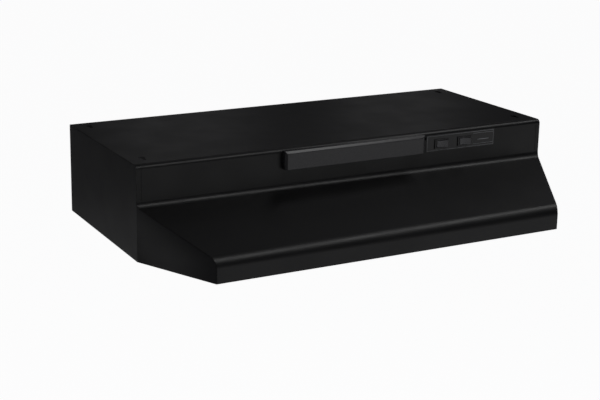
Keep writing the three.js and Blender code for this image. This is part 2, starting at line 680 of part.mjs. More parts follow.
add("fan_deck", fanDeck(), paint);
add("plenum_wrap", plenumWrap(), zincSteel);
["wire_grommet_left", "wire_grommet_rear", "wire_grommet_front"].forEach((name, i) =>
  add(name, grommet().translate(grommetPlaces()[i]), rubber));

// ---- Motor and fan ----

const bracketTop = stackTop + BEARING_LENGTH + 3.5;
const boltPlaces = [-1, 1].map((sign) => [sign * (STATOR_WIDTH / 2 - BOLT_INSET), fanY]);
const boltHoles = () => holesThrough(boltPlaces, SCREW_HOLE_R, stackBottom - 20, HEIGHT);

function motorBracket() {
  const path = bentPath([
    [bracketHalf + FOOT, deckTop + SEAM + BRACKET_SHEET],
    [bracketHalf, deckTop + SEAM + BRACKET_SHEET, 3],
    [bracketHalf, bracketTop, 4],
    [-bracketHalf, bracketTop, 4],
    [-bracketHalf, deckTop + SEAM + BRACKET_SHEET, 3],
    [-bracketHalf - FOOT, deckTop + SEAM + BRACKET_SHEET],
  ], 3);
  const w = BRACKET_WIDTH / 2;
  return prism(sheetOutline(path, 0, BRACKET_SHEET), "y", fanY - w, fanY + w)
    .subtract(boltHoles()).subtract(rivetHoles());
}

function motorStator() {
  const w = STATOR_WIDTH / 2;
  const windowFront = STATOR_FRONT;
  const windowRear = windowFront + WINDOW_DEPTH;
  const rear = windowRear + LIMB;
  const stack = block(-w, w, fanY - STATOR_FRONT, fanY + rear, stackBottom, stackTop);
  const bore = disc(STATOR_BORE, stackBottom - 1, stackTop + 1, 32).translate([0, fanY, 0]);
  const window = block(
    -w + LIMB, w - LIMB, fanY + windowFront, fanY + windowRear, stackBottom - 1, stackTop + 1);
  return stack.subtract(bore).subtract(window).subtract(boltHoles());
}

// Wound round the stack's rear limb.
function motorCoil() {
  const rear = fanY + STATOR_FRONT + WINDOW_DEPTH;
  const gap = 0.4;
  const h = COIL_LENGTH / 2;
  const outer = block(
    -h, h, rear - COIL_BUILD, rear + LIMB + COIL_BUILD, stackBottom - COIL_BUILD, stackTop + COIL_BUILD);
  const limb = block(
    -h - 1, h + 1, rear - gap, rear + LIMB + gap, stackBottom - gap, stackTop + gap);
  return outer.subtract(limb);
}

// A pressed strap over the stack with a cup that holds a sleeve bearing. Built facing up at z = 0.
function bearingBracket() {
  const w = STRAP_WIDTH / 2;
  const strap = block(-STATOR_WIDTH / 2, STATOR_WIDTH / 2, -w, w, SEAM, SEAM + STRAP_THICK)
    .subtract(holesThrough(boltPlaces.map(([x]) => [x, 0]), SCREW_HOLE_R, -1, 4));
  const cup = disc(BEARING_R + 1.4, SEAM, BEARING_LENGTH, 24);
  const seat = disc(BEARING_R - 3, -1, BEARING_LENGTH - 1.4, 24);
  const hole = disc(SHAFT_R + 1, -1, BEARING_LENGTH + 1, 16);
  return join(strap, cup).subtract(seat).subtract(hole);
}

function sleeveBearing() {
  return pipe(BEARING_R - 3 - SEAM, SHAFT_R + 0.05, SEAM, BEARING_LENGTH - 1.4 - SEAM, 24);
}

const bladeTop = deck + ORIFICE_COLLAR;
const bladeBottom = bladeTop - FAN_HEIGHT;
const shaftTop = stackTop + BEARING_LENGTH - 1;
const shaftBottom = bladeBottom - 4;

// One cambered, twisted blade as a closed grid of points, from inside the hub out to the tip.
function bladeSolid() {
  const rows = 4;
  const columns = 4;
  const vertices = [];
  for (const lift of [0.5, -0.5]) {
    for (let i = 0; i <= rows; i++) {
      for (let j = 0; j <= columns; j++) {
        const out = i / rows;
        const along = j / columns;
        const radius = HUB_R - HUB_WALL / 2 + (FAN_R - HUB_R + HUB_WALL / 2) * out;
        const sweep = 0.46 + 0.1 * out;
        const rise = FAN_HEIGHT * (0.9 - 0.35 * out);
        const angle = (along - 0.5) * sweep * 2 + 0.25 * out;
        const camber = 2.4 * Math.sin(Math.PI * along);
        const z = (along - 0.5) * rise + camber + lift * BLADE_THICK;
        vertices.push(radius * Math.cos(angle), radius * Math.sin(angle), z);
      }
    }
  }
  const at = (layer, i, j) => (layer * (rows + 1) + i) * (columns + 1) + j;
  const faces = [];
  const quad = (a, b, c, d) => faces.push(a, b, c, a, c, d);
  for (let i = 0; i < rows; i++) {
    for (let j = 0; j < columns; j++) {
      quad(at(0, i, j), at(0, i + 1, j), at(0, i + 1, j + 1), at(0, i, j + 1));
      quad(at(1, i, j), at(1, i, j + 1), at(1, i + 1, j + 1), at(1, i + 1, j));
    }
    quad(at(1, i, 0), at(1, i + 1, 0), at(0, i + 1, 0), at(0, i, 0));
    quad(at(0, i, columns), at(0, i + 1, columns), at(1, i + 1, columns), at(1, i, columns));
  }
  for (let j = 0; j < columns; j++) {
    quad(at(1, 0, j + 1), at(1, 0, j), at(0, 0, j), at(0, 0, j + 1));
    quad(at(0, rows, j + 1), at(0, rows, j), at(1, rows, j), at(1, rows, j + 1));
  }
  const geometry = new THREE.BufferGeometry();
  geometry.setAttribute("position", new THREE.Float32BufferAttribute(vertices, 3));
  geometry.setIndex(faces);
  return solidFrom(geometry);
}

function fanBlade() {
  const middle = (bladeTop + bladeBottom) / 2;
  const cup = turned([
    [SHAFT_R + 2.5, bladeTop], [HUB_R, bladeTop], [HUB_R, bladeBottom + 2], [HUB_R - 2, bladeBottom],
    [SHAFT_R + 0.3, bladeBottom], [SHAFT_R + 0.3, bladeTop + HUB_BOSS],
    [SHAFT_R + 2.5, bladeTop + HUB_BOSS],
    [SHAFT_R + 2.5, bladeTop],
  ], 30);
  let fan = cup;
  for (let k = 0; k < FAN_BLADES; k++) {
    fan = fan.add(bladeSolid().rotate([0, 0, (360 * k) / FAN_BLADES]).translate([0, 0, middle]));
  }
  return fan.translate([0, fanY, 0]);
}

function bladeClip() {
  const z = bladeBottom - SEAM;
  return pipe(SHAFT_R + 4, SHAFT_R + 0.3, z - 1.6, z, 12).translate([0, fanY, 0]);
}

function rotor() {
  const inset = 0.8; // within the stack's height
  return pipe(STATOR_BORE - ROTOR_GAP, SHAFT_R + 0.3, stackBottom + inset, stackTop - inset, 30)
    .translate([0, fanY, 0]);
}

add("motor_bracket", motorBracket(), zincSteel);
add("motor_stator", motorStator(), lamination);
add("motor_coil", motorCoil(), copper);
const upper = [0, fanY, stackTop];
const lower = [0, fanY, stackBottom];
add("upper_bearing_bracket", bearingBracket().translate(upper), zincSteel);
add("lower_bearing_bracket", bearingBracket().rotate([180, 0, 0]).translate(lower), zincSteel);
add("upper_bearing", sleeveBearing().translate(upper), brass);
add("lower_bearing", sleeveBearing().rotate([180, 0, 0]).translate(lower), brass);
add("motor_shaft", disc(SHAFT_R, shaftBottom, shaftTop, 16).translate([0, fanY, 0]), zincSteel);
add("motor_rotor", rotor(), lamination);
add("fan_blade", fanBlade(), fanPlastic);
add("blade_clip", bladeClip(), zincSteel);

// ---- Filter, its seat and what holds it ----

const railY = filterRear + RAIL_GAP;

// A rectangular skirt under the deck whose lower flange the filter closes against.
function filterSeat() {
  const w = FILTER_WIDTH / 2 - FILTER_RIM;
  const d = filterDepth / 2 - FILTER_RIM;
  const top = deck - SEAM;
  const bottom = filterTop + 0.4;
  const frame = (outX, outY, inX, inY, z0, z1) => {
    const ring = block(-outX, outX, fanY - outY, fanY + outY, z0, z1);
    return ring.subtract(block(-inX, inX, fanY - inY, fanY + inY, z0 - 1, z1 + 1));
  };
  const skirt = frame(w, d, w - SHEET, d - SHEET, bottom, top);
  const upper = frame(w + 6, d + 6, w - SHEET, d - SHEET, top - SHEET, top);
  const lower = frame(w + 6, d + 6, w - SHEET, d - SHEET, bottom, bottom + SHEET);
  return join(skirt, upper, lower);
}

// An angle whose upright leg has a slot for each of the filter's tabs.
function hookRail() {
  const half = FILTER_WIDTH / 2 - 6;
  const top = deck - SEAM;
  const bottom = filterBottom - 7;
  const leg = block(-half, half, railY, railY + SHEET, bottom, top);
  const foot = block(-half, half, railY, railY + FLANGE, top - SHEET, top);
  let rail = join(leg, foot);
  const z = filterBottom + FILTER_SHEET / 2;
  for (const x of [-TAB_X, TAB_X]) {
    const w = TAB_WIDTH / 2 + 1;
    rail = rail.subtract(block(x - w, x + w, railY - 1, railY + 2, z - TAB_SLOT, z + TAB_SLOT));
  }
  return rail;
}

function filterClip(x) {
  const y = filterFront - CLIP_GAP;
  const top = deck - SEAM;
  const path = bentPath([
    [y - 10, top],
    [y, top, 1.5],
    [y, filterBottom + 2, 3],
    [y - 3, filterBottom - 6],
  ], 3);
  return prism(sheetOutline(path, 0, -0.6), "x", x - CLIP_WIDTH / 2, x + CLIP_WIDTH / 2);
}

// A channel round all four sides, open inwards, with two tabs at the back.
function filterFrame() {
  const w = FILTER_WIDTH / 2;
  const d = filterDepth / 2;
  const t = FILTER_SHEET;
  const outer = block(-w, w, fanY - d, fanY + d, filterBottom, filterTop);
  const channel = block(-w + t, w - t, fanY - d + t, fanY + d - t, filterBottom + t, filterTop - t);
  const inX = w - FILTER_RIM;
  const inY = d - FILTER_RIM;
  const eye = block(-inX, inX, fanY - inY, fanY + inY, filterBottom - 1, filterTop + 1);
  let frame = outer.subtract(channel.add(eye));
  for (const x of [-TAB_X, TAB_X]) {
    const tab = block(
      x - TAB_WIDTH / 2, x + TAB_WIDTH / 2, filterRear - 1, railY + SHEET + TAB_REACH,
      filterBottom, filterBottom + t);
    frame = frame.add(tab);
  }
  return frame;
}

// A thin screen folded to and fro across the filter's depth.
function foldedScreen(z0, z1) {
  const w = FILTER_WIDTH / 2 - FILTER_SHEET - SEAM;
  const d = filterDepth / 2 - FILTER_SHEET - SEAM;
  const folds = 2 * Math.round((2 * d) / MESH_PITCH);
  const layer = (lift) => Array.from({ length: folds + 1 }, (_, k) => [
    fanY - d + (2 * d * k) / folds, (k % 2 ? z1 - 2 * MESH_SHEET : z0) + lift]);
  const outline = [...layer(0), ...layer(2 * MESH_SHEET).reverse()];
  return prism(outline, "x", -w, w);
}

function charcoalPad(z0, z1) {
  const w = FILTER_WIDTH / 2 - FILTER_SHEET - SEAM;
  const d = filterDepth / 2 - FILTER_SHEET - SEAM;
  return block(-w, w, fanY - d, fanY + d, z0, z1);
}

function pullTab() {
  const y = filterFront + 4;
  const top = filterBottom - SEAM;
  const path = bentPath([[y + 8, top], [y, top, 2], [y, top - 11, 2], [y + 6, top - 11]], 3);
  return prism(sheetOutline(path, 0, 0.9), "x", -14, 14);
}

const padMiddle = filterBottom + FILTER_SHEET + SEAM + 4.2;
add("filter_seat", filterSeat(), paint);
add("filter_hook_rail", hookRail(), zincSteel);
add("filter_clip_left", filterClip(-TAB_X), zincSteel);
add("filter_clip_right", filterClip(TAB_X), zincSteel);
add("filter_frame", filterFrame(), aluminium);
add("filter_mesh", foldedScreen(filterBottom + FILTER_SHEET + SEAM, padMiddle), aluminium);
add("charcoal_pad", charcoalPad(padMiddle + SEAM, filterTop - FILTER_SHEET - SEAM), carbon);
add("filter_pull_tab", pullTab(), aluminium);

// ---- Lamp ----

const boxLeft = DECK_HALF + LAMP_FROM_DECK;
const boxRight = boxLeft + LAMP_BOX_WIDTH;
const boxTop = HEIGHT - 16;
const boxBottom = boxTop - LAMP_BOX_HEIGHT;
const boxFront = lampY - LAMP_BOX_DEPTH / 2;
const boxRear = lampY + LAMP_BOX_DEPTH / 2;
const lensPin = { y: boxRear - EAR.inset, z: boxBottom - EAR.below + 1 };

// A reflector open underneath, with an ear at each end that carries the lens's pins.
function lampReflector() {
  const outer = block(boxLeft, boxRight, boxFront, boxRear, boxBottom, boxTop);
  const hollow = block(
    boxLeft + SHEET, boxRight - SHEET, boxFront + SHEET, boxRear - SHEET, boxBottom - 1, boxTop - SHEET);
  let box = outer.subtract(hollow);
  const ear = (x) => block(
    x, x + SHEET, lensPin.y - EAR.half, lensPin.y + EAR.half, lensPin.z - EAR.below, boxBottom + 1);
  box = join(box, ear(boxLeft), ear(boxRight - SHEET));
  const ends = [boxLeft + HANGER_INSET, boxRight - HANGER_INSET];
  const hanger = block(...ends, lampY - HANGER_HALF, lampY + HANGER_HALF, boxTop - SHEET / 2, underTop);
  const inside = block(
    ends[0] + SHEET, ends[1] - SHEET, lampY - HANGER_HALF - 1, lampY + HANGER_HALF + 1,
    boxTop, underTop - SHEET);
  const pins = disc(LENS_PIN_R + 0.25, 0, LAMP_BOX_WIDTH + 20, 16).rotate([0, 90, 0])
    .translate([boxLeft - 10, lensPin.y, lensPin.z]);
  const socketHole = disc(SOCKET.radius + 0.4, -5, 5, 24).rotate([0, 90, 0])
    .translate([boxLeft, lampY, lampZ]);
  return box.add(hanger.subtract(inside)).subtract(pins).subtract(socketHole);
}

// The holder passes through the reflector's end and its collar stops against the outside.
function lampSocket() {
  const { radius, wall: thick, back, reach, collar, collarThick } = SOCKET;
  return turned([
    [0, -back], [radius - 3, -back], [radius, 2 - back], [radius, 0], [collar, 0], [collar, collarThick],
    [radius, collarThick], [radius, reach], [radius - thick, reach], [radius - thick, 0], [0, 0],
  ], 24).rotate([0, 90, 0]).translate([boxLeft - collarThick - SOCKET_GAP, lampY, lampZ]);
}

function threaded(core, depth, pitch, from, to) {
  const points = [];
  for (let h = from; h < to - 0.01; h += pitch) {
    points.push([core, h], [core + depth, h + pitch / 2]);
  }
  points.push([core, to]);
  return points;
}

const socketFloor = boxLeft - SOCKET.collarThick - SOCKET_GAP + 0.3;

function socketShell() {
  const outside = threaded(12.9, 0.6, 5.5, 0.4, 22.4);
  const inside = threaded(12.4, 0.6, 5.5, 0.4, 22.4).reverse();
  return turned([...outside, ...inside, outside[0]], 16).rotate([0, 90, 0])
    .translate([socketFloor, lampY, lampZ]);
}

function bulbBase() {
  const profile = [[0, 3], [4, 3], [4.6, 5], [10.8, 7], ...threaded(11.2, 0.6, 3, 7.4, 25.4), [0, 25.4]];
  return turned(profile, 16).rotate([0, 90, 0]).translate([socketFloor, lampY, lampZ]);
}

// A globe on a neck, as an open shell that starts where the base ends.
function bulbGlass() {
  const neck = 25.7;
  const centre = 82;
  const shape = (shrink) => {
    const points = [[10.6 - shrink, neck], [12 - shrink, neck + 10], [17 - shrink, neck + 24]];
    for (let k = 0; k <= 5; k++) {
      const angle = Math.PI * (0.8 - 0.16 * k);
      const radius = BULB_R - shrink;
      points.push([radius * Math.sin(angle), centre - radius * Math.cos(Math.PI - angle)]);
    }
    points[points.length - 1][0] = 0;
    return points;
  };
  return turned([...shape(0), ...shape(1).reverse(), shape(0)[0]], 20).rotate([0, 90, 0])
    .translate([socketFloor, lampY, lampZ]);
}

// A shallow tray with a crowned floor. Two pins at its rear corners turn in the reflector's ears.
function lightLens() {
  const x0 = boxLeft + SHEET + LENS_GAP;
  const x1 = boxRight - SHEET - LENS_GAP;
  const top = boxBottom - 1;
  const y0 = boxFront;
  const y1 = lensPin.y + 5;
  const tray = (shrink, lid) => {
    const points = [[y0 + shrink, lid], [y0 + shrink, top - LENS_HEIGHT * 0.45 + shrink]];
    for (let k = 1; k < 6; k++) {
      const along = k / 6;
      const sag = LENS_HEIGHT * (0.45 + 0.55 * Math.sin(Math.PI * along) ** 0.7);
      points.push([y0 + shrink + (y1 - y0 - 2 * shrink) * along, top - sag + shrink]);
    }
    points.push([y1 - shrink, top - LENS_HEIGHT * 0.45 + shrink], [y1 - shrink, lid]);
    return points;
  };
  const shell = prism(tray(0, top), "x", x0, x1)
    .subtract(prism(tray(LENS_WALL, top + 1), "x", x0 + LENS_WALL, x1 - LENS_WALL));
  const pin = (from, to) => disc(LENS_PIN_R, from, to, 16).rotate([0, 90, 0])
    .translate([0, lensPin.y, lensPin.z]);
  const reach = SHEET + LENS_GAP + 0.6;
  // A tongue that rises inside the reflector's front wall.
  const tongueY = boxFront + SHEET + LENS_GAP;
  const middle = (x0 + x1) / 2;
  const tongue = block(
    middle - 14, middle + 14, tongueY, tongueY + 1.4, top - 4, boxBottom + CATCH_RISE);
  return join(shell, pin(x0 - reach, x0 + 1), pin(x1 - 1, x1 + reach), tongue);
}

add("lamp_reflector", lampReflector(), zincSteel);
add("lamp_socket", lampSocket(), porcelain);
add("socket_shell", socketShell(), brass);
add("bulb_base", bulbBase(), brass);
add("bulb_glass", bulbGlass(), glass);
add("light_lens", lightLens(), lensPlastic);

// ---- Wiring ----

const boxScrew = [
  WIRING_BOX.left + WIRING_BOX.screwInset,
  wall - FLANGE - WIRING_BOX.fromWall - WIRING_BOX.depth + WIRING_BOX.screwInset,
];

function wiringBox() {
  const { left, right, fromWall, depth, height } = WIRING_BOX;
  const rear = wall - FLANGE - fromWall;
  const ahead = rear - depth;
  const bottom = underTop - height;
  const outer = block(left, right, ahead, rear, bottom, underTop);
  const hollow = block(left + SHEET, right - SHEET, ahead + SHEET, rear - SHEET, bottom + SHEET, HEIGHT);
  const [, y, z] = grommetPlaces()[0];
  const exit = disc(GROMMET_R, -5, 5, 16).rotate([0, 90, 0]).translate([right, y, z]);
  const entry = disc(CABLE_HOLE_R, -3, 6, 16).rotate([90, 0, 0])
    .translate([CABLE_HOLE_X, rear, HEIGHT - CABLE_HOLE_DROP]);
  const screwHole = disc(SCREW_HOLE_R, bottom - 1, bottom + 2, 12).translate([...boxScrew, 0]);
  return outer.subtract(hollow).subtract(exit).subtract(entry).subtract(screwHole);
}

function wireNut(x, y) {
  const z = underTop - WIRING_BOX.height + SHEET + 0.4;
  return turned([[0, z], [5, z], [5.6, z + 3], [4.2, z + 17], [3, z + 19], [0, z + 19]], 12)
    .translate([x, y, 0]);
}

const [leftHole, rearHole, frontHole] = grommetPlaces();
const terminalY = face + SWITCH_DEPTH + TERMINAL.length;
const [fanX, lightX] = switchX;

const corridor = (DECK_HALF + boxLeft) / 2; // between the fan deck and the reflector

// Supply pair: from the wiring box through the plenum, behind the motor, and forward to the light switch.
const supplyRun = [
  [WIRING_BOX.right - 40, leftHole[1], leftHole[2]],
  [WIRING_BOX.right, leftHole[1], leftHole[2]],
  [leftHole[0], leftHole[1], leftHole[2]],
  [-110, leftHole[1] + 6, leftHole[2] + 4],
  [0, leftHole[1] + 8, leftHole[2] + 8],
  [110, rearHole[1] + 6, rearHole[2] + 4],
  [rearHole[0], rearHole[1], rearHole[2]],
  [corridor - 4, rearHole[1] - 8, rearHole[2] + 4],
  [corridor, rearHole[1] - 40, HEIGHT - 11],
  [corridor, lampY, HEIGHT - 11],
  [corridor + 6, boxFront + 2, HEIGHT - 12],
  [lightX - 8, boxFront - 6, switchZ + 6],
  [lightX, terminalY + 5, switchZ + 1],
  [lightX, terminalY + 0.5, switchZ],
];

// Motor pair: from the fan switch to the corridor, in through the front grommet, and over to the coil.
const turnX = Math.min(fanX, corridor + 1);
const motorRun = [
  [fanX, terminalY + 0.5, switchZ],
  [fanX, terminalY + 6, switchZ],
  [turnX, terminalY + 6.5, switchZ],
  [turnX - 5, frontHole[1] - 22, frontHole[2]],
  [frontHole[0] + 10, frontHole[1] - 2, frontHole[2]],
  [frontHole[0], frontHole[1], frontHole[2]],
  [frontHole[0] - 20, frontHole[1] + 4, frontHole[2] + 4],
  [86, fanY - 42, HEIGHT - 11],
  [62, fanY + 10, HEIGHT - 14],
  [40, fanY + 44, stackTop + 5],
  [COIL_LENGTH / 2 + WIRE_R + 4, fanY + 48, stackTop + 3.6],
  [COIL_LENGTH / 2 + 0.5, fanY + 48, stackTop + 3.6],
];

// Lamp pair: from the light switch back and down to the lamp holder.
const lampRun = [
  [lightX - 8, terminalY + 0.5, switchZ],
  [lightX - 9, terminalY + 5, switchZ - 1],
  [boxLeft - 1, boxFront - 6, lampZ + 18],
  [boxLeft - 8, boxFront + 12, lampZ + 10],
  [boxLeft - 17.5, lampY - 9, lampZ + 4],
  [boxLeft - 16, lampY, lampZ],
  [boxLeft - 12.6, lampY, lampZ],
];

add("wiring_box", wiringBox(), zincSteel);
add("wire_nut_black", wireNut(WIRING_BOX.left + 30, wall - 70), blackPlastic);
add("wire_nut_white", wireNut(WIRING_BOX.left + 52, wall - 70), porcelain);
add("supply_wires", wire(supplyRun), wireCover);
add("motor_wires", wire(motorRun), wireCover);
add("lamp_wires", wire(lampRun), wireCover);

// ---- Fasteners, each its own piece ----

const upward = (solid, x, y, z) => solid.rotate([180, 0, 0]).translate([x, y, z]);

// Screws from under the deck into the plenum's lower flanges.
deckScrewPlaces.forEach(([x, y], i) =>
  add("deck_screw_" + (i + 1), upward(screw(DECK_SCREW), x, y, deck - SEAM), zincSteel));

// Rivets that hold the motor bracket's feet to the deck.
["left", "right"].forEach((name, i) => {
  const [x, y] = rivetPlaces[i];
  const z = deckTop + SEAM + BRACKET_SHEET + SEAM;
  add("bracket_rivet_" + name, screw(RIVET).translate([x, y, z]), zincSteel);
});

// Long screws that hang the stack and both bearing brackets under the motor bracket, over spacers.
["left", "right"].forEach((name, i) => {
  const [x, y] = boltPlaces[i];
  const head = bracketTop + SEAM;
  const length = head - stackBottom + STRAP_THICK + MOTOR_SCREW.beyond;
  add("motor_screw_" + name, screw({ ...MOTOR_SCREW, length }).translate([x, y, head]), zincSteel);
  const spacer = pipe(
    SPACER_R, SCREW_HOLE_R, stackTop + STRAP_THICK + 2 * SEAM, bracketTop - BRACKET_SHEET - SEAM, 16);
  add("motor_spacer_" + name, spacer.translate([x, y, 0]), zincSteel);
});

const boxBase = underTop - WIRING_BOX.height - SEAM;
add("wiring_box_screw", upward(screw(BOX_SCREW), ...boxScrew, boxBase), zincSteel);

export default hood;
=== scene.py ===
# Under cabinet range hood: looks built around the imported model, in metres. +Z is up and -Y is the front.
import json
import math

import bmesh
import bpy
from mathutils import Matrix, Vector
from mathutils.bvhtree import BVHTree


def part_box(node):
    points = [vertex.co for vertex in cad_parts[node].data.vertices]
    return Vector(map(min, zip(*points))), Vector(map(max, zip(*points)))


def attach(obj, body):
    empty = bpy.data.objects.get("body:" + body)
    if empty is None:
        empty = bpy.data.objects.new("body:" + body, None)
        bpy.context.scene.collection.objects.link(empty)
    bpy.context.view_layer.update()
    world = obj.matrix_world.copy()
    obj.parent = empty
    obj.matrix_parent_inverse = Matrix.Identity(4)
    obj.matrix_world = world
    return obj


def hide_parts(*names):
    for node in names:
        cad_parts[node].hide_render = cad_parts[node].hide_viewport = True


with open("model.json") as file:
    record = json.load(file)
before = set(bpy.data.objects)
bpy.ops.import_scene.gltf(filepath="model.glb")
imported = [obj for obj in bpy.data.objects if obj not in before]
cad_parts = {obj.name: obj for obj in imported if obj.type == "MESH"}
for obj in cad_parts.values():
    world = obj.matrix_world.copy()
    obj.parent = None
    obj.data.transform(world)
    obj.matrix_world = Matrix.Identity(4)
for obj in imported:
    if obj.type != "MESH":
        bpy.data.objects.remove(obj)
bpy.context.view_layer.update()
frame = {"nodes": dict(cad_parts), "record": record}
mm = 0.001

viewpoint = {
    "place": (-1.0728, -1.8274, 0.6485),
    "azimuth": -27.175,  # degrees round from the front, towards the left side
    "elevation": 14.451,
    "roll": 0.618,
    "lens": 77.53,
    "sensor": 36,
    "farthest": 60,  # metres, past the floor's edge
    "shift": (0.07, -0.07),  # as shares of the frame's width
}


def makeCamera(settings):
    azimuth, elevation, roll = (math.radians(settings[k]) for k in ("azimuth", "elevation", "roll"))
    back = Vector((
        math.sin(azimuth) * math.cos(elevation),
        -math.cos(azimuth) * math.cos(elevation),
        math.sin(elevation),
    ))
    level = (-back).cross(Vector((0, 0, 1))).normalized()
    right = level * math.cos(roll) + back.cross(level) * math.sin(roll)
    up = back.cross(right)
    data = bpy.data.cameras.new("camera")
    data.lens = settings["lens"]
    data.sensor_width = settings["sensor"]
    data.shift_x, data.shift_y = settings["shift"]
    data.clip_end = settings["farthest"]
    camera = bpy.data.objects.new("camera", data)
    turn = Matrix((right, up, back)).transposed()
    camera.matrix_world = Matrix.Translation(settings["place"]) @ turn.to_4x4()
    bpy.context.scene.collection.objects.link(camera)
    bpy.context.scene.camera = camera


makeCamera(viewpoint)
print("camera set")


# Node colours are linear light, and hex colours are sRGB.
def toLinear(hexColour):
    channels = [int(hexColour[i:i + 2], 16) / 255 for i in (1, 3, 5)]
    return tuple(c / 12.92 if c <= 0.04045 else ((c + 0.055) / 1.055) ** 2.4 for c in channels) + (1,)


def addNode(tree, kind, settings=None, inputs=None, links=None):
    node = tree.nodes.new(kind)
    for name, value in (settings or {}).items():
        setattr(node, name, value)
    for name, value in (inputs or {}).items():
        node.inputs[name].default_value = value
    for name, (source, output) in (links or {}).items():
        tree.links.new(source.outputs[output], node.inputs[name])
    return node


def startMaterial(name, settings):
    material = bpy.data.materials.new(name)
    material.use_nodes = True
    tree = material.node_tree
    shader = tree.nodes["Principled BSDF"]
    shader.inputs["Base Color"].default_value = toLinear(settings["colour"])
    for key, value in settings.items():
        if key in shader.inputs:
            shader.inputs[key].default_value = value
    place = addNode(tree, "ShaderNodeTexCoord")
    return material, tree, shader, place


# One pattern can drive a surface's two tones, its gloss and its relief.
# The spread says which of the pattern's values count as its low and its high end.
middleSpread = (0.35, 0.65)


def applyPattern(tree, shader, pattern, output, settings):
    spread = settings.get("spread", middleSpread)
    if "tones" in settings:
        ramp = addNode(tree, "ShaderNodeValToRGB", links={"Fac": (pattern, output)})
        for stop, position, tone in zip(ramp.color_ramp.elements, spread, settings["tones"]):
            stop.position = position
            stop.color = toLinear(tone)
        tree.links.new(ramp.outputs["Color"], shader.inputs["Base Color"])
    if "gloss" in settings:
        smooth, rougher = settings["gloss"]
        rough = addNode(
            tree, "ShaderNodeMapRange",
            inputs={"From Min": spread[0], "From Max": spread[1], "To Min": smooth, "To Max": rougher},
            links={"Value": (pattern, output)})
        tree.links.new(rough.outputs["Result"], shader.inputs["Roughness"])
    if "relief" in settings:
        relief = addNode(
            tree, "ShaderNodeBump", inputs={"Strength": 1.0, "Distance": settings["relief"] * mm},
            links={"Height": (pattern, output)})
        tree.links.new(relief.outputs["Normal"], shader.inputs["Normal"])


# Coordinates are in metres, so a scale of 1000 / grain repeats the pattern about every grain mm.
def makeSurface(name, settings):
    material, tree, shader, place = startMaterial(name, settings)
    drawn = addNode(
        tree, "ShaderNodeMapping", inputs={"Scale": settings.get("stretch", (1, 1, 1))},
        links={"Vector": (place, "Object")})
    pattern = addNode(
        tree, "ShaderNodeTexNoise",
        inputs={"Scale": 1000 / settings["grain"], "Detail": settings.get("detail", 2.0)},
        links={"Vector": (drawn, "Vector")})
    applyPattern(tree, shader, pattern, "Fac", settings)
    return material


# Baked enamel on sheet steel: sprayed, so it shows a faint orange peel and slow drifts in its gloss.
enamel = {"colour": "#070708", "IOR": 1.5, "grain": 3.2, "detail": 1.0, "relief": 0.0035}
enamelDrift = {"grain": 65, "gloss": (0.38, 0.43)}


def makeEnamel(name, settings, drift):
    material, tree, shader, place = startMaterial(name, settings)
    peel = addNode(
        tree, "ShaderNodeTexNoise", inputs={"Scale": 1000 / settings["grain"], "Detail": settings["detail"]},
        links={"Vector": (place, "Object")})
    applyPattern(tree, shader, peel, "Fac", settings)
    slow = addNode(
        tree, "ShaderNodeTexNoise", inputs={"Scale": 1000 / drift["grain"]},
        links={"Vector": (place, "Object")})
    applyPattern(tree, shader, slow, "Fac", drift)
    return material


# Moulded ABS: the tool's spark-eroded face leaves a fine even grain that spreads each highlight.
deflectorAbs = {"colour": "#262628", "IOR": 1.53, "grain": 0.9, "relief": 0.006, "gloss": (0.22, 0.28)}
switchAbs = {"colour": "#131315", "IOR": 1.53, "grain": 0.8, "relief": 0.006, "gloss": (0.26, 0.34)}
rockerAbs = {"colour": "#39393c", "IOR": 1.53, "grain": 0.7, "relief": 0.006, "gloss": (0.24, 0.32)}

# Moulded polypropylene: waxy and slightly cloudy, with broad flow marks.
fanPolypropylene = {
    "colour": "#c9c6ba", "IOR": 1.49, "grain": 14, "detail": 3.0, "tones": ("#bfbbae", "#d3d0c6"),
    "gloss": (0.38, 0.5)}

# Nylon wire nuts and PVC sleeves: soft satin, with marks from the mould and the extruder's die.
nylonNut = {"colour": "#d8d4c8", "IOR": 1.53, "grain": 1.5, "relief": 0.01, "gloss": (0.4, 0.5)}
pvcSleeve = {"colour": "#26272b", "IOR": 1.53, "grain": 3.0, "relief": 0.01, "gloss": (0.38, 0.5)}

# Nitrile rubber: nearly matt, with a bloom that greys it in patches.
nitrileRubber = {
    "colour": "#161616", "IOR": 1.52, "grain": 4.0, "detail": 4.0, "tones": ("#121212", "#1f1f20"),
    "gloss": (0.6, 0.75)}

# Screen-printed polyester film: flat and satin, finer in texture than the enamel beside it.
printFilm = {"colour": "#0e0e10", "IOR": 1.58, "grain": 0.6, "relief": 0.004, "gloss": (0.30, 0.36)}
printInk = {"colour": "#77797c", "IOR": 1.5, "grain": 0.5, "tones": ("#6c6e71", "#828487"), "gloss": (0.5, 0.6)}

# Zinc plate, mill aluminium, drawn brass and sintered bronze: fine lines along the way the tool or roll went.
zincPlate = {
    "colour": "#b9bcc0", "Metallic": 1.0, "grain": 1.2, "detail": 3.0, "stretch": (1, 1, 6),
    "tones": ("#a4a8ad", "#c8cbce"), "gloss": (0.22, 0.36), "relief": 0.004}
millAluminium = {
    "colour": "#c9cbcd", "Metallic": 1.0, "grain": 1.5, "detail": 3.0, "stretch": (0.05, 1, 1),
    "tones": ("#b5b8bb", "#d3d5d6"), "gloss": (0.26, 0.42), "relief": 0.006}
drawnBrass = {
    "colour": "#b9924c", "Metallic": 1.0, "grain": 2.0, "detail": 3.0, "tones": ("#a37f3f", "#cba45c"),
    "gloss": (0.24, 0.38), "relief": 0.004}
sinteredBronze = {
    "colour": "#8f6a3a", "Metallic": 1.0, "grain": 0.5, "detail": 4.0, "tones": ("#6f4f29", "#a67d49"),
    "gloss": (0.45, 0.6), "relief": 0.02}

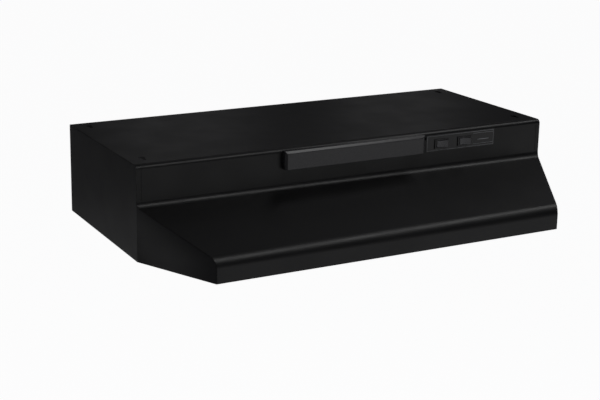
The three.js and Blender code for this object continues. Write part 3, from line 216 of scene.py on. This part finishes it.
# Activated-charcoal fleece: tangled fibres full of carbon grains, which take up nearly all light.
charcoalFleece = {
    "colour": "#141414", "IOR": 1.45, "grain": 1.6, "detail": 8.0, "stretch": (1, 0.35, 1), "relief": 0.5,
    "tones": ("#0b0b0b", "#2c2b2a"), "gloss": (0.85, 0.98), "Sheen Weight": 0.25, "Sheen Roughness": 0.5}

# Glazed porcelain: a clear glaze over a warm white body with tiny iron specks.
glazedPorcelain = {
    "colour": "#ece7da", "IOR": 1.52, "grain": 1.6, "detail": 4.0, "tones": ("#d9d2c0", "#f2eee3"),
    "spread": (0.25, 0.42), "gloss": (0.28, 0.4), "Coat Weight": 0.8, "Coat Roughness": 0.06}

# Etched glass glows evenly with the light that goes through it.
etchedGlass = {
    "colour": "#f4f2ea", "IOR": 1.5, "Transmission Weight": 0.3, "grain": 0.8, "relief": 0.008,
    "gloss": (0.35, 0.48)}

# Zinc crystals on galvanised sheet are about 8 mm across, each with its own brightness and gloss.
galvanised = {
    "colour": "#b4b8ba", "Metallic": 1.0, "spangle": 8.0, "tones": ("#959a9e", "#c4c7c9"), "spread": (0.1, 0.9),
    "gloss": (0.32, 0.48)}


def makeGalvanised(name, settings):
    material, tree, shader, place = startMaterial(name, settings)
    cells = addNode(
        tree, "ShaderNodeTexVoronoi", inputs={"Scale": 1000 / settings["spangle"]},
        links={"Vector": (place, "Object")})
    split = addNode(tree, "ShaderNodeSeparateColor", links={"Color": (cells, "Color")})
    applyPattern(tree, shader, split, "Red", settings)
    return material


# Opal polycarbonate: a pebbled face about 3 mm from bump to bump breaks up the view of the bulb.
opalPolycarbonate = {
    "colour": "#efeee6", "IOR": 1.58, "Transmission Weight": 0.3, "pebble": 3.0, "relief": 0.18,
    "spread": (0.1, 0.9), "gloss": (0.2, 0.32)}


def makePebbled(name, settings):
    material, tree, shader, place = startMaterial(name, settings)
    cells = addNode(
        tree, "ShaderNodeTexVoronoi", settings={"feature": "SMOOTH_F1"},
        inputs={"Scale": 1000 / settings["pebble"]}, links={"Vector": (place, "Object")})
    applyPattern(tree, shader, cells, "Distance", settings)
    return material


# Banded surfaces: turns of enamelled copper wire, and the edges of stamped silicon steel.
# Real laminations are 0.5 mm thick. They are drawn 1 mm apart so that they show.
magnetWire = {
    "colour": "#8a4a24", "IOR": 1.55, "Metallic": 0.6, "Coat Weight": 0.6, "Coat Roughness": 0.12, "band": 0.9,
    "along": "X", "tones": ("#4a2310", "#a5602f"), "spread": (0.1, 0.8), "gloss": (0.45, 0.28), "relief": 0.25}
siliconSteel = {
    "colour": "#5d6064", "Metallic": 1.0, "band": 1.0, "along": "Z", "tones": ("#33363a", "#7a7d81"),
    "spread": (0.0, 0.5), "gloss": (0.5, 0.36), "relief": 0.06}


# A wave texture repeats every pi / 10 of its scaled coordinate.
def makeBanded(name, settings):
    material, tree, shader, place = startMaterial(name, settings)
    bands = addNode(
        tree, "ShaderNodeTexWave", settings={"bands_direction": settings["along"]},
        inputs={"Scale": math.pi / 10 * 1000 / settings["band"], "Distortion": 0.4, "Detail Scale": 3.0},
        links={"Vector": (place, "Object")})
    applyPattern(tree, shader, bands, "Fac", settings)
    return material


materials = {
    "enamel": makeEnamel("baked enamel", enamel, enamelDrift),
    "deflectorAbs": makeSurface("moulded charcoal abs", deflectorAbs),
    "switchAbs": makeSurface("moulded black abs", switchAbs),
    "rockerAbs": makeSurface("moulded grey abs", rockerAbs),
    "fanPlastic": makeSurface("moulded polypropylene", fanPolypropylene),
    "nylon": makeSurface("moulded nylon", nylonNut),
    "pvc": makeSurface("extruded pvc", pvcSleeve),
    "rubber": makeSurface("moulded nitrile rubber", nitrileRubber),
    "film": makeSurface("printed polyester film", printFilm),
    "ink": makeSurface("screen ink", printInk),
    "zinc": makeSurface("zinc plated steel", zincPlate),
    "aluminium": makeSurface("mill aluminium", millAluminium),
    "brass": makeSurface("drawn brass", drawnBrass),
    "bronze": makeSurface("sintered bronze", sinteredBronze),
    "fleece": makeSurface("charcoal fleece", charcoalFleece),
    "porcelain": makeSurface("glazed porcelain", glazedPorcelain),
    "glass": makeSurface("etched glass", etchedGlass),
    "galvanised": makeGalvanised("galvanised sheet", galvanised),
    "lens": makePebbled("opal polycarbonate", opalPolycarbonate),
    "winding": makeBanded("enamelled copper wire", magnetWire),
    "lamination": makeBanded("silicon steel laminations", siliconSteel),
}
print("made", len(materials), "materials")


# Each CAD node's finish
finishes = {
    "enamel": [
        "top_panel", "cable_knockout", "back_panel", "left_side_panel", "right_side_panel", "front_visor",
        "fan_deck", "filter_seat"],
    "deflectorAbs": ["air_deflector"],
    "switchAbs": ["fan_switch_body", "light_switch_body", "wire_nut_black"],
    "rockerAbs": ["fan_rocker", "light_rocker"],
    "film": ["control_plate"],
    "galvanised": ["plenum_wrap", "motor_bracket", "filter_hook_rail", "lamp_reflector", "wiring_box"],
    "zinc": [
        "upper_bearing_bracket", "lower_bearing_bracket", "motor_shaft", "blade_clip", "filter_clip_left",
        "filter_clip_right", "deck_screw_1", "deck_screw_2", "deck_screw_3", "deck_screw_4",
        "bracket_rivet_left", "bracket_rivet_right", "motor_screw_left", "motor_screw_right",
        "motor_spacer_left", "motor_spacer_right", "wiring_box_screw"],
    "lamination": ["motor_stator", "motor_rotor"],
    "aluminium": ["filter_frame", "filter_mesh", "filter_pull_tab"],
    "brass": ["socket_shell", "bulb_base"],
    "bronze": ["upper_bearing", "lower_bearing"],
    "winding": ["motor_coil"],
    "fanPlastic": ["fan_blade"],
    "fleece": ["charcoal_pad"],
    "rubber": ["wire_grommet_left", "wire_grommet_rear", "wire_grommet_front"],
    "porcelain": ["lamp_socket"],
    "nylon": ["wire_nut_white"],
    "glass": ["bulb_glass"],
    "lens": ["light_lens"],
    "pvc": ["supply_wires", "motor_wires", "lamp_wires"],
}
finishOf = {node: finish for finish, members in finishes.items() for node in members}
bodyOf = {node: body for body, members in frame["record"]["behaviour"]["bodies"].items() for node in members}
for node, finish in finishOf.items():
    for holder in frame["nodes"][node].material_slots:
        holder.link = "OBJECT"
        holder.material = materials[finish]


# Large faces set the shading, so narrow ones beside them don't bend it.
def evenNormals(piece):
    normals = piece.modifiers.new("even normals", "WEIGHTED_NORMAL")
    normals.weight = 100


def keepPiece(name, work, node, finish=None, stands=True, even=True):
    mesh = bpy.data.meshes.new(name)
    for face in work.faces:
        face.smooth = True
    work.to_mesh(mesh)
    work.free()
    piece = bpy.data.objects.new(name, mesh)
    bpy.context.scene.collection.objects.link(piece)
    mesh.materials.append(materials[finish or finishOf[node]])
    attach(piece, bodyOf[node])
    if stands:
        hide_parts(node)
    if even:
        evenNormals(piece)
    return piece


# Folded and moulded parts keep their outline and get rounded edges this wide, in mm.
roundedEdges = {
    "top_panel": 0.3, "cable_knockout": 0.15, "back_panel": 0.25, "left_side_panel": 0.25,
    "right_side_panel": 0.25, "front_visor": 0.25, "fan_deck": 0.2, "filter_seat": 0.2,
    "air_deflector": 0.5, "control_plate": 0.12, "fan_switch_body": 0.3, "light_switch_body": 0.3,
    "fan_rocker": 0.6, "light_rocker": 0.6, "plenum_wrap": 0.2, "motor_bracket": 0.3,
    "filter_hook_rail": 0.2, "lamp_reflector": 0.2, "wiring_box": 0.2, "motor_stator": 0.3,
    "motor_coil": 2.2, "filter_frame": 0.25, "filter_pull_tab": 0.25, "light_lens": 0.5,
    "lamp_socket": 0.4, "upper_bearing_bracket": 0.2, "lower_bearing_bracket": 0.2,
    "filter_clip_left": 0.15, "filter_clip_right": 0.15, "bulb_base": 0.15, "socket_shell": 0.1,
}


weld = 0.002  # mm, below any real gap between points
rounding = {"flat": 0.6, "sharp": 34, "segments": 3}  # angles in degrees


def copyNode(node):
    work = bmesh.new()
    work.from_mesh(frame["nodes"][node].data)
    bmesh.ops.remove_doubles(work, verts=work.verts, dist=weld * mm)
    return work


def roundEdges(node, width, settings):
    work = copyNode(node)
    bmesh.ops.dissolve_limit(
        work, angle_limit=math.radians(settings["flat"]), verts=work.verts, edges=work.edges, delimit=set())
    surface = BVHTree.FromBMesh(work)
    low = [min(v.co[k] for v in work.verts) for k in range(3)]
    high = [max(v.co[k] for v in work.verts) for k in range(3)]
    piece = keepPiece(node + "_finished", work, node, even=False)
    rounded = piece.modifiers.new("rounded edges", "BEVEL")
    rounded.width = width * mm
    rounded.segments = settings["segments"]
    rounded.limit_method = "ANGLE"
    rounded.angle_limit = math.radians(settings["sharp"])
    rounded.use_clamp_overlap = False
    # The bevel throws a point out at some narrow corners, so each one that strays goes back to the part.
    shaped = piece.evaluated_get(bpy.context.evaluated_depsgraph_get())
    mesh = bpy.data.meshes.new_from_object(shaped)
    for point in mesh.vertices:
        spot, _, _, gap = surface.find_nearest(point.co)
        if gap > width * mm:
            point.co = spot
        point.co = [min(max(point.co[k], low[k]), high[k]) for k in range(3)]
    piece.modifiers.remove(rounded)
    mesh.name = piece.name
    piece.data = mesh
    evenNormals(piece)


for node, width in roundedEdges.items():
    roundEdges(node, width, rounding)
print("rounded", len(roundedEdges), "parts")


# Solids in mm, added to one mesh
def addBar(work, low, high):
    spots = [(x, y, z) for x in (low[0], high[0]) for y in (low[1], high[1]) for z in (low[2], high[2])]
    corners = [work.verts.new(Vector(spot) * mm) for spot in spots]
    for a, b, c, d in ((0, 1, 3, 2), (4, 6, 7, 5), (0, 4, 5, 1), (2, 3, 7, 6), (0, 2, 6, 4), (1, 5, 7, 3)):
        work.faces.new((corners[a], corners[b], corners[c], corners[d]))


# A closed [radius, height] profile turned about a line through centre, along the direction axis.
def addTurned(work, profile, centre, axis=(0, 0, 1), segments=48, shape=None):
    stand = Vector(axis).to_track_quat("Z", "Y").to_matrix()
    rings = []
    for radius, height in profile:
        if radius == 0:
            rings.append([work.verts.new((Vector(centre) + stand @ Vector((0, 0, height))) * mm)])
            continue
        ring = []
        for k in range(segments):
            angle = 2 * math.pi * k / segments
            lift = shape(radius, angle) if shape else 0
            spot = stand @ Vector((radius * math.cos(angle), radius * math.sin(angle), height + lift))
            ring.append(work.verts.new((Vector(centre) + spot) * mm))
        rings.append(ring)
    for below, above in zip(rings, rings[1:]):
        for k in range(segments):
            after = (k + 1) % segments
            corners = [
                below[k % len(below)], below[after % len(below)],
                above[after % len(above)], above[k % len(above)]]
            corners = [c for i, c in enumerate(corners) if c not in corners[:i]]
            if len(corners) > 2:
                work.faces.new(corners)
    bmesh.ops.recalc_face_normals(work, faces=work.faces)


def boxOf(node):
    low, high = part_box(node)
    return [v / mm for v in low], [v / mm for v in high]


# Printing on the control film: a double border, plain marks under the switches and a plain bar.
printing = {
    "inset": 1.7, "line": 0.55, "double": 3.6, "proud": 0.05,
    "fanMarks": (-9.0, 0.0, 9.0), "lightMarks": (0.0,), "mark": (3.4, 1.1), "markDrop": 10.6,
    "bar": (24.0, 1.2), "barFromEnd": 9.5, "doubleFromSwitch": 3,
}


def printControls(settings):
    low, high = boxOf("control_plate")
    y0, y1 = low[1] - settings["proud"], low[1]
    line, inset = settings["line"], settings["inset"]
    left, right = low[0] + inset, high[0] - inset
    bottom, top = low[2] + inset, high[2] - inset
    work = bmesh.new()
    fanSwitch, lightSwitch = boxOf("fan_switch_body"), boxOf("light_switch_body")
    centres = [(box[0][0] + box[1][0]) / 2 for box in (fanSwitch, lightSwitch)]
    middle = (fanSwitch[0][2] + fanSwitch[1][2]) / 2
    addBar(work, (left, y0, top - line), (right, y1, top))
    addBar(work, (left, y0, bottom), (right, y1, bottom + line))
    addBar(work, (left, y0, bottom + line), (left + line, y1, top - line))
    addBar(work, (right - line, y0, bottom + line), (right, y1, top - line))
    second = lightSwitch[1][0] + settings["doubleFromSwitch"]
    for z in (bottom + settings["double"], top - settings["double"]):
        addBar(work, (second, y0, z), (right - 2 * line, y1, z + line))
    width, height = settings["mark"]
    for centre, offsets in zip(centres, (settings["fanMarks"], settings["lightMarks"])):
        for offset in offsets:
            x, z = centre + offset, middle - settings["markDrop"]
            addBar(work, (x - width / 2, y0, z - height / 2), (x + width / 2, y1, z + height / 2))
    length, height = settings["bar"]
    end = right - settings["barFromEnd"]
    addBar(work, (end - length, y0, middle - height / 2), (end, y1, middle + height / 2))
    keepPiece("control_printing", work, "control_plate", "ink", stands=False, even=False)


printControls(printing)

# Fan: a turned hub and five twisted, cambered blades with rounded tips.
fan = {
    "radius": 89.0, "hub": 19.0, "hubWall": 2.5, "height": 20.0, "blades": 5, "thick": 1.4, "bore": 2.7,
    "boss": 4.9, "rows": 18, "columns": 14, "tipRounding": 0.16, "tipFrom": 0.8, "shaftRadius": 2.4,
    "halfSpan": (0.46, 0.1), "sweep": 0.25,  # in radians: half the width at the root, its growth, the lean
    "rise": (0.9, 0.35),  # share of the height a blade climbs at the root, and how much less at the tip
    "camber": 2.4, "edgeThickness": 0.45,
}


def makeFan(settings):
    low, high = boxOf("fan_blade")
    centre = ((low[0] + high[0]) / 2, boxOf("motor_shaft")[0][1] + settings["shaftRadius"])
    bottom = low[2]
    top = bottom + settings["height"]
    hub, bore, boss = settings["hub"], settings["bore"], settings["boss"]
    work = bmesh.new()
    underside = [(bore, 0.3), (bore + 0.3, 0), (hub - 3.2, 0), (hub - 1.4, 0.6), (hub - 0.4, 1.7), (hub, 3.2)]
    topside = [(hub, -1), (hub - 0.3, -0.3), (hub - 1, 0), (boss + 1, 0), (boss + 0.3, 0.3), (boss, 0.9)]
    bossEnd = [(boss, -0.3), (boss - 0.3, 0), (bore, 0)]
    levels = ((underside, bottom), (topside, top), (bossEnd, high[2]), (underside[:1], bottom))
    profile = [(radius, level + z) for points, level in levels for radius, z in points]
    addTurned(work, profile, (*centre, 0))
    rows, columns = settings["rows"], settings["columns"]
    root = hub - settings["hubWall"] / 2
    halfWidth, widening = settings["halfSpan"]
    climb, flattening = settings["rise"]
    thinEdge, tipFrom = settings["edgeThickness"], settings["tipFrom"]
    for blade in range(settings["blades"]):
        turn = 2 * math.pi * blade / settings["blades"]
        layers = []
        for side in (0.5, -0.5):
            grid = []
            for i in range(rows + 1):
                out = i / rows
                tip = max(0.0, (out - tipFrom) / (1 - tipFrom))
                narrow = 1 - settings["tipRounding"] * tip ** 3
                line = []
                for j in range(columns + 1):
                    along = 0.5 + (j / columns - 0.5) * narrow
                    edge = min(1.0, 4 * min(j, columns - j) / columns)  # thins towards both edges
                    radius = root + (settings["radius"] - root) * out
                    angle = turn + (along - 0.5) * 2 * (halfWidth + widening * out) + settings["sweep"] * out
                    rise = settings["height"] * (climb - flattening * out)
                    lift = side * settings["thick"] * (thinEdge + (1 - thinEdge) * edge)
                    bow = settings["camber"] * math.sin(math.pi * along)
                    z = (along - 0.5) * rise + bow + lift + (top + bottom) / 2
                    line.append(work.verts.new(Vector((
                        centre[0] + radius * math.cos(angle), centre[1] + radius * math.sin(angle), z)) * mm))
                grid.append(line)
            layers.append(grid)
        upper, lower = layers
        for i in range(rows):
            for j in range(columns):
                work.faces.new((upper[i][j], upper[i + 1][j], upper[i + 1][j + 1], upper[i][j + 1]))
                work.faces.new((lower[i][j], lower[i][j + 1], lower[i + 1][j + 1], lower[i + 1][j]))
            for j, flip in ((0, False), (columns, True)):
                corners = [lower[i][j], lower[i + 1][j], upper[i + 1][j], upper[i][j]]
                work.faces.new(corners[::-1] if flip else corners)
        for j in range(columns):
            for i, flip in ((0, True), (rows, False)):
                corners = [lower[i][j], lower[i][j + 1], upper[i][j + 1], upper[i][j]]
                work.faces.new(corners[::-1] if flip else corners)
    keepPiece("axial_fan", work, "fan_blade")


makeFan(fan)

# Grease screen: two layers of expanded aluminium foil over the folded screen's shape.
# Its diamonds are about 8 by 4.4 mm, and each strand is a flat ribbon.
greaseScreen = {
    "long": 8.0, "short": 4.4, "strand": 0.6, "thick": 0.35, "layers": 2, "fold": 8.0, "margin": 0.4}


def makeScreen(settings):
    low, high = boxOf("filter_mesh")
    work = bmesh.new()
    margin = settings["margin"]
    x0, x1 = low[0] + margin, high[0] - margin
    y0, y1 = low[1] + margin, high[1] - margin
    halfShort = settings["short"] / 2
    columns = round((x1 - x0) / (settings["long"] / 2))
    rows = round((y1 - y0) / halfShort)
    pitchX, pitchY = (x1 - x0) / columns, (y1 - y0) / rows
    depth = (high[2] - low[2]) / settings["layers"]
    for layer in range(settings["layers"]):
        base = low[2] + depth * layer + settings["thick"]
        swing = depth - 2 * settings["thick"]
        for row in range(rows):
            middle = y0 + pitchY * (row + 0.5)
            last = None
            for column in range(columns + 1):
                side = 0.5 if (row + column + layer) % 2 else -0.5
                y = middle + side * pitchY
                fold = (y - y0 + layer * settings["fold"] / 2) / settings["fold"]
                z = base + swing * abs(1 - 2 * (fold % 1))
                x = x0 + pitchX * column
                w, t = settings["strand"] / 2, settings["thick"] / 2
                ribbon = ((-w, -t), (w, -t), (w, t), (-w, t))
                spots = [Vector((x, max(y0, min(y1, y + a)), z + b)) for a, b in ribbon]
                section = [work.verts.new(spot * mm) for spot in spots]
                if last:
                    for k in range(4):
                        work.faces.new((last[k], last[(k + 1) % 4], section[(k + 1) % 4], section[k]))
                else:
                    work.faces.new(section[::-1])
                last = section
            work.faces.new(last)
    bmesh.ops.recalc_face_normals(work, faces=work.faces)
    keepPiece("grease_screen", work, "filter_mesh", even=False)


makeScreen(greaseScreen)

# Lamp: a globe on a neck, blown thin.
bulb = {"radius": 29.0, "wall": 1.0, "neckRadius": 10.6, "globeAngle": 144, "steps": 16}


def makeBulb(settings):
    low, high = boxOf("bulb_glass")
    centre = (low[0], (low[1] + high[1]) / 2, (low[2] + high[2]) / 2)
    radius, wall = settings["radius"], settings["wall"]
    middle = high[0] - low[0] - radius
    widest = settings["globeAngle"]
    joinRadius = radius * math.sin(math.radians(widest))
    joinHeight = middle + radius * math.cos(math.radians(widest))
    outer = []
    for k in range(settings["steps"] + 1):
        along = k / settings["steps"]
        ease = along * along * (3 - 2 * along)
        start = settings["neckRadius"]
        outer.append((start + (joinRadius - start) * ease, joinHeight * along))
    for k in range(1, settings["steps"] + 1):
        angle = math.radians(widest * (1 - k / settings["steps"]))
        outer.append((radius * math.sin(angle), middle + radius * math.cos(angle)))
    outer[-1] = (0.0, middle + radius)
    inner = [(max(0.0, r - wall), h - (wall if r < wall else 0)) for r, h in outer]
    inner[-1] = (0.0, middle + radius - wall)
    work = bmesh.new()
    addTurned(work, inner[::-1] + outer, centre, axis=(1, 0, 0))
    rim = [e for e in work.edges if e.is_boundary]
    if rim:
        bmesh.ops.bridge_loops(work, edges=rim)
    keepPiece("bulb_globe", work, "bulb_glass")


makeBulb(bulb)

# Fasteners: domed heads with a cross recess, and rivets with the mark their mandrel leaves.
crossRecess = {"arm": 0.62, "reach": 0.62, "depth": 0.42}
rivetMark = {"radius": 0.3, "depth": 0.35}
domes = {"rings": 12, "around": 48, "plainRim": 0.98}
shanks = {"radius": 1.9, "tip": 0.8, "taper": 0.4, "around": 24}
# name: the way the head faces, and how high its dome is
fasteners = {
    "deck_screw_1": ("down", 2.2), "deck_screw_2": ("down", 2.2), "deck_screw_3": ("down", 2.2),
    "deck_screw_4": ("down", 2.2), "wiring_box_screw": ("down", 2.4), "bracket_rivet_left": ("up", 2.0),
    "bracket_rivet_right": ("up", 2.0), "motor_screw_left": ("up", 2.2), "motor_screw_right": ("up", 2.2),
}


def makeFastener(node, way, dome):
    low, high = boxOf(node)
    sign = 1 if way == "up" else -1
    seat = high[2] - dome if sign > 0 else low[2] + dome
    centre = ((low[0] + high[0]) / 2, (low[1] + high[1]) / 2, seat)
    head = (high[0] - low[0]) / 2
    shank = shanks["radius"]
    length = high[2] - low[2] - dome
    rings = domes["rings"]

    isRivet = node.startswith("bracket")

    def pressed(radius, angle):
        if radius >= head * domes["plainRim"] or radius == shank:
            return 0
        x, y = radius * math.cos(angle), radius * math.sin(angle)
        if isRivet:
            return -rivetMark["depth"] * dome if radius < rivetMark["radius"] * head else 0
        inArm = min(abs(x), abs(y)) < crossRecess["arm"] and radius < crossRecess["reach"] * head
        return -crossRecess["depth"] * dome if inArm and radius > 0 else 0

    crown = []
    for k in range(rings + 1):
        across = head * (1 - k / rings)
        crown.append((across, dome * (1 - (across / head) ** 2) ** 0.5 if k else 0.0))
    sunk = (rivetMark if isRivet else crossRecess)["depth"] * dome
    crown[-1] = (0.0, dome - sunk)
    work = bmesh.new()
    axis = (0, 0, sign)
    addTurned(work, [(shank, 0.0)] + crown, centre, axis, domes["around"], pressed)
    tip, taper = shank * shanks["tip"], shanks["taper"]
    stem = [(0.0, -length), (tip, -length), (shank, taper - length), (shank, 0.0)]
    addTurned(work, stem, centre, axis, shanks["around"])
    keepPiece(node + "_finished", work, node, even=False)


for node, (way, dome) in fasteners.items():
    makeFastener(node, way, dome)

# Wires have no edges to soften, so a subdivision surface smooths them.
smoothed = ["supply_wires", "motor_wires", "lamp_wires"]
squaring = {"face": 40, "shape": 60}  # degrees


def smoothWire(node):
    work = copyNode(node)
    bmesh.ops.join_triangles(
        work, faces=work.faces, angle_face_threshold=math.radians(squaring["face"]),
        angle_shape_threshold=math.radians(squaring["shape"]))
    piece = keepPiece(node + "_finished", work, node, even=False)
    finer = piece.modifiers.new("smooth", "SUBSURF")
    finer.levels = 1
    finer.render_levels = 1


for node in smoothed:
    smoothWire(node)
print("made the fan, screen, bulb, fasteners and wires")


# Studio: a pale floor well below, as the hood hangs, and large soft lights.
studio = {
    "floor": "#f6f6f6",
    "floorDrop": 2.2,
    "floorHalf": 25.0,
    "floorGlow": 1.0,  # lifts the floor to an even white
    "floorMottle": 40,  # mm
    "cool": 1.06,  # how much bluer the surroundings are than grey
    "behind": "#fbfbfb",
}

# What the enamel mirrors where no light stands: brightness by height of the direction, as (sine, value).
surroundings = [
    (-1.0, 0.22), (-0.5, 0.18), (-0.36, 0.05), (-0.22, 0.015), (0.08, 0.012), (0.28, 0.035), (0.6, 0.05),
    (1.0, 0.06)]

# name: place, target, size across and up, brightness
softLights = {
    "front low": ((0.80, -1.55, -0.42), (0.05, -0.1, 0.1), (2.6, 0.8), 0.40),
    "front overhead": ((0.55, -0.75, 1.25), (0.05, -0.12, 0.1), (2.6, 0.30), 2.6),
    "overhead": ((0.30, 0.22, 0.78), (0.0, -0.10, 0.08), (1.3, 0.4), 0.08),
    "back left": ((0.70, 2.25, 0.80), (-0.1, 0.1, 0.15), (0.5, 0.9), 0.11),
    "back right": ((1.50, 2.05, 0.85), (0.2, 0.1, 0.15), (0.4, 0.9), 0.13),
    "left low": ((-0.74, 1.05, -0.50), (-0.381, 0.1, 0.06), (0.8, 0.4), 0.16),
    "left card": ((-0.76, 0.15, -0.10), (-0.36, -0.1, 0.04), (0.25, 0.2), 0.2),
    "behind": ((0.20, 1.90, -0.25), (0.0, 0.22, 0.08), (1.6, 0.5), 0.6),
    "right side": ((1.90, 0.50, -0.05), (0.38, 0.0, 0.08), (0.6, 0.8), 0.5),
    "below": ((0.10, -0.30, -1.50), (0.0, 0.0, 0.05), (1.2, 0.9), 0.5),
}


def makeFloor(settings):
    paint, tree, shader, place = startMaterial("studio floor paint", {"colour": settings["floor"]})
    shader.inputs["Emission Color"].default_value = toLinear(settings["floor"])
    shader.inputs["Emission Strength"].default_value = settings["floorGlow"]
    mottle = addNode(
        tree, "ShaderNodeTexNoise", inputs={"Scale": 1000 / settings["floorMottle"]},
        links={"Vector": (place, "Object")})
    applyPattern(tree, shader, mottle, "Fac", {"gloss": (0.86, 0.94)})
    half, z = settings["floorHalf"], -settings["floorDrop"]
    mesh = bpy.data.meshes.new("floor")
    corners = [(-half, -half, z), (half, -half, z), (half, half, z), (-half, half, z)]
    mesh.from_pydata(corners, [], [(0, 1, 2, 3)])
    mesh.materials.append(paint)
    floor = bpy.data.objects.new("floor", mesh)
    bpy.context.scene.collection.objects.link(floor)
    floor.visible_glossy = False


# The camera sees plain white past the floor, and the hood mirrors the dim surroundings.
def makeWorld(settings):
    world = bpy.data.worlds.new("studio")
    bpy.context.scene.world = world
    world.use_nodes = True
    tree = world.node_tree
    mirrored = tree.nodes["Background"]
    direction = addNode(tree, "ShaderNodeTexCoord")
    split = addNode(tree, "ShaderNodeSeparateXYZ", links={"Vector": (direction, "Generated")})
    height = addNode(
        tree, "ShaderNodeMapRange", inputs={"From Min": -1.0, "From Max": 1.0}, links={"Value": (split, "Z")})
    ramp = addNode(tree, "ShaderNodeValToRGB", links={"Fac": (height, "Result")})
    stops = ramp.color_ramp.elements
    for index, (sine, value) in enumerate(surroundings):
        stop = stops[index] if index < 2 else stops.new(0.5 + sine / 2)
        stop.position = 0.5 + sine / 2
        stop.color = (value, value, value * settings["cool"], 1)
    tree.links.new(ramp.outputs["Color"], mirrored.inputs["Color"])
    seen = addNode(
        tree, "ShaderNodeBackground", inputs={"Color": toLinear(settings["behind"]), "Strength": 1.0})
    path = addNode(tree, "ShaderNodeLightPath")
    mixed = addNode(tree, "ShaderNodeMixShader", links={"Fac": (path, "Is Camera Ray")})
    tree.links.new(mirrored.outputs["Background"], mixed.inputs[1])
    tree.links.new(seen.outputs["Background"], mixed.inputs[2])
    tree.links.new(mixed.outputs["Shader"], tree.nodes["World Output"].inputs["Surface"])


def addSoftLight(name, place, target, size, brightness):
    data = bpy.data.lights.new(name, "AREA")
    data.shape = "RECTANGLE"
    data.size, data.size_y = size
    data.energy = brightness * math.pi * size[0] * size[1]
    light = bpy.data.objects.new(name, data)
    aim = Vector(target) - Vector(place)
    turn = aim.to_track_quat("-Z", "Y").to_matrix().to_4x4()
    light.matrix_world = Matrix.Translation(place) @ turn
    bpy.context.scene.collection.objects.link(light)
    light.visible_camera = False


makeFloor(studio)
makeWorld(studio)
for name, (place, target, size, brightness) in softLights.items():
    addSoftLight(name, place, target, size, brightness)
bpy.context.scene.view_settings.view_transform = "Standard"
print("studio lit")
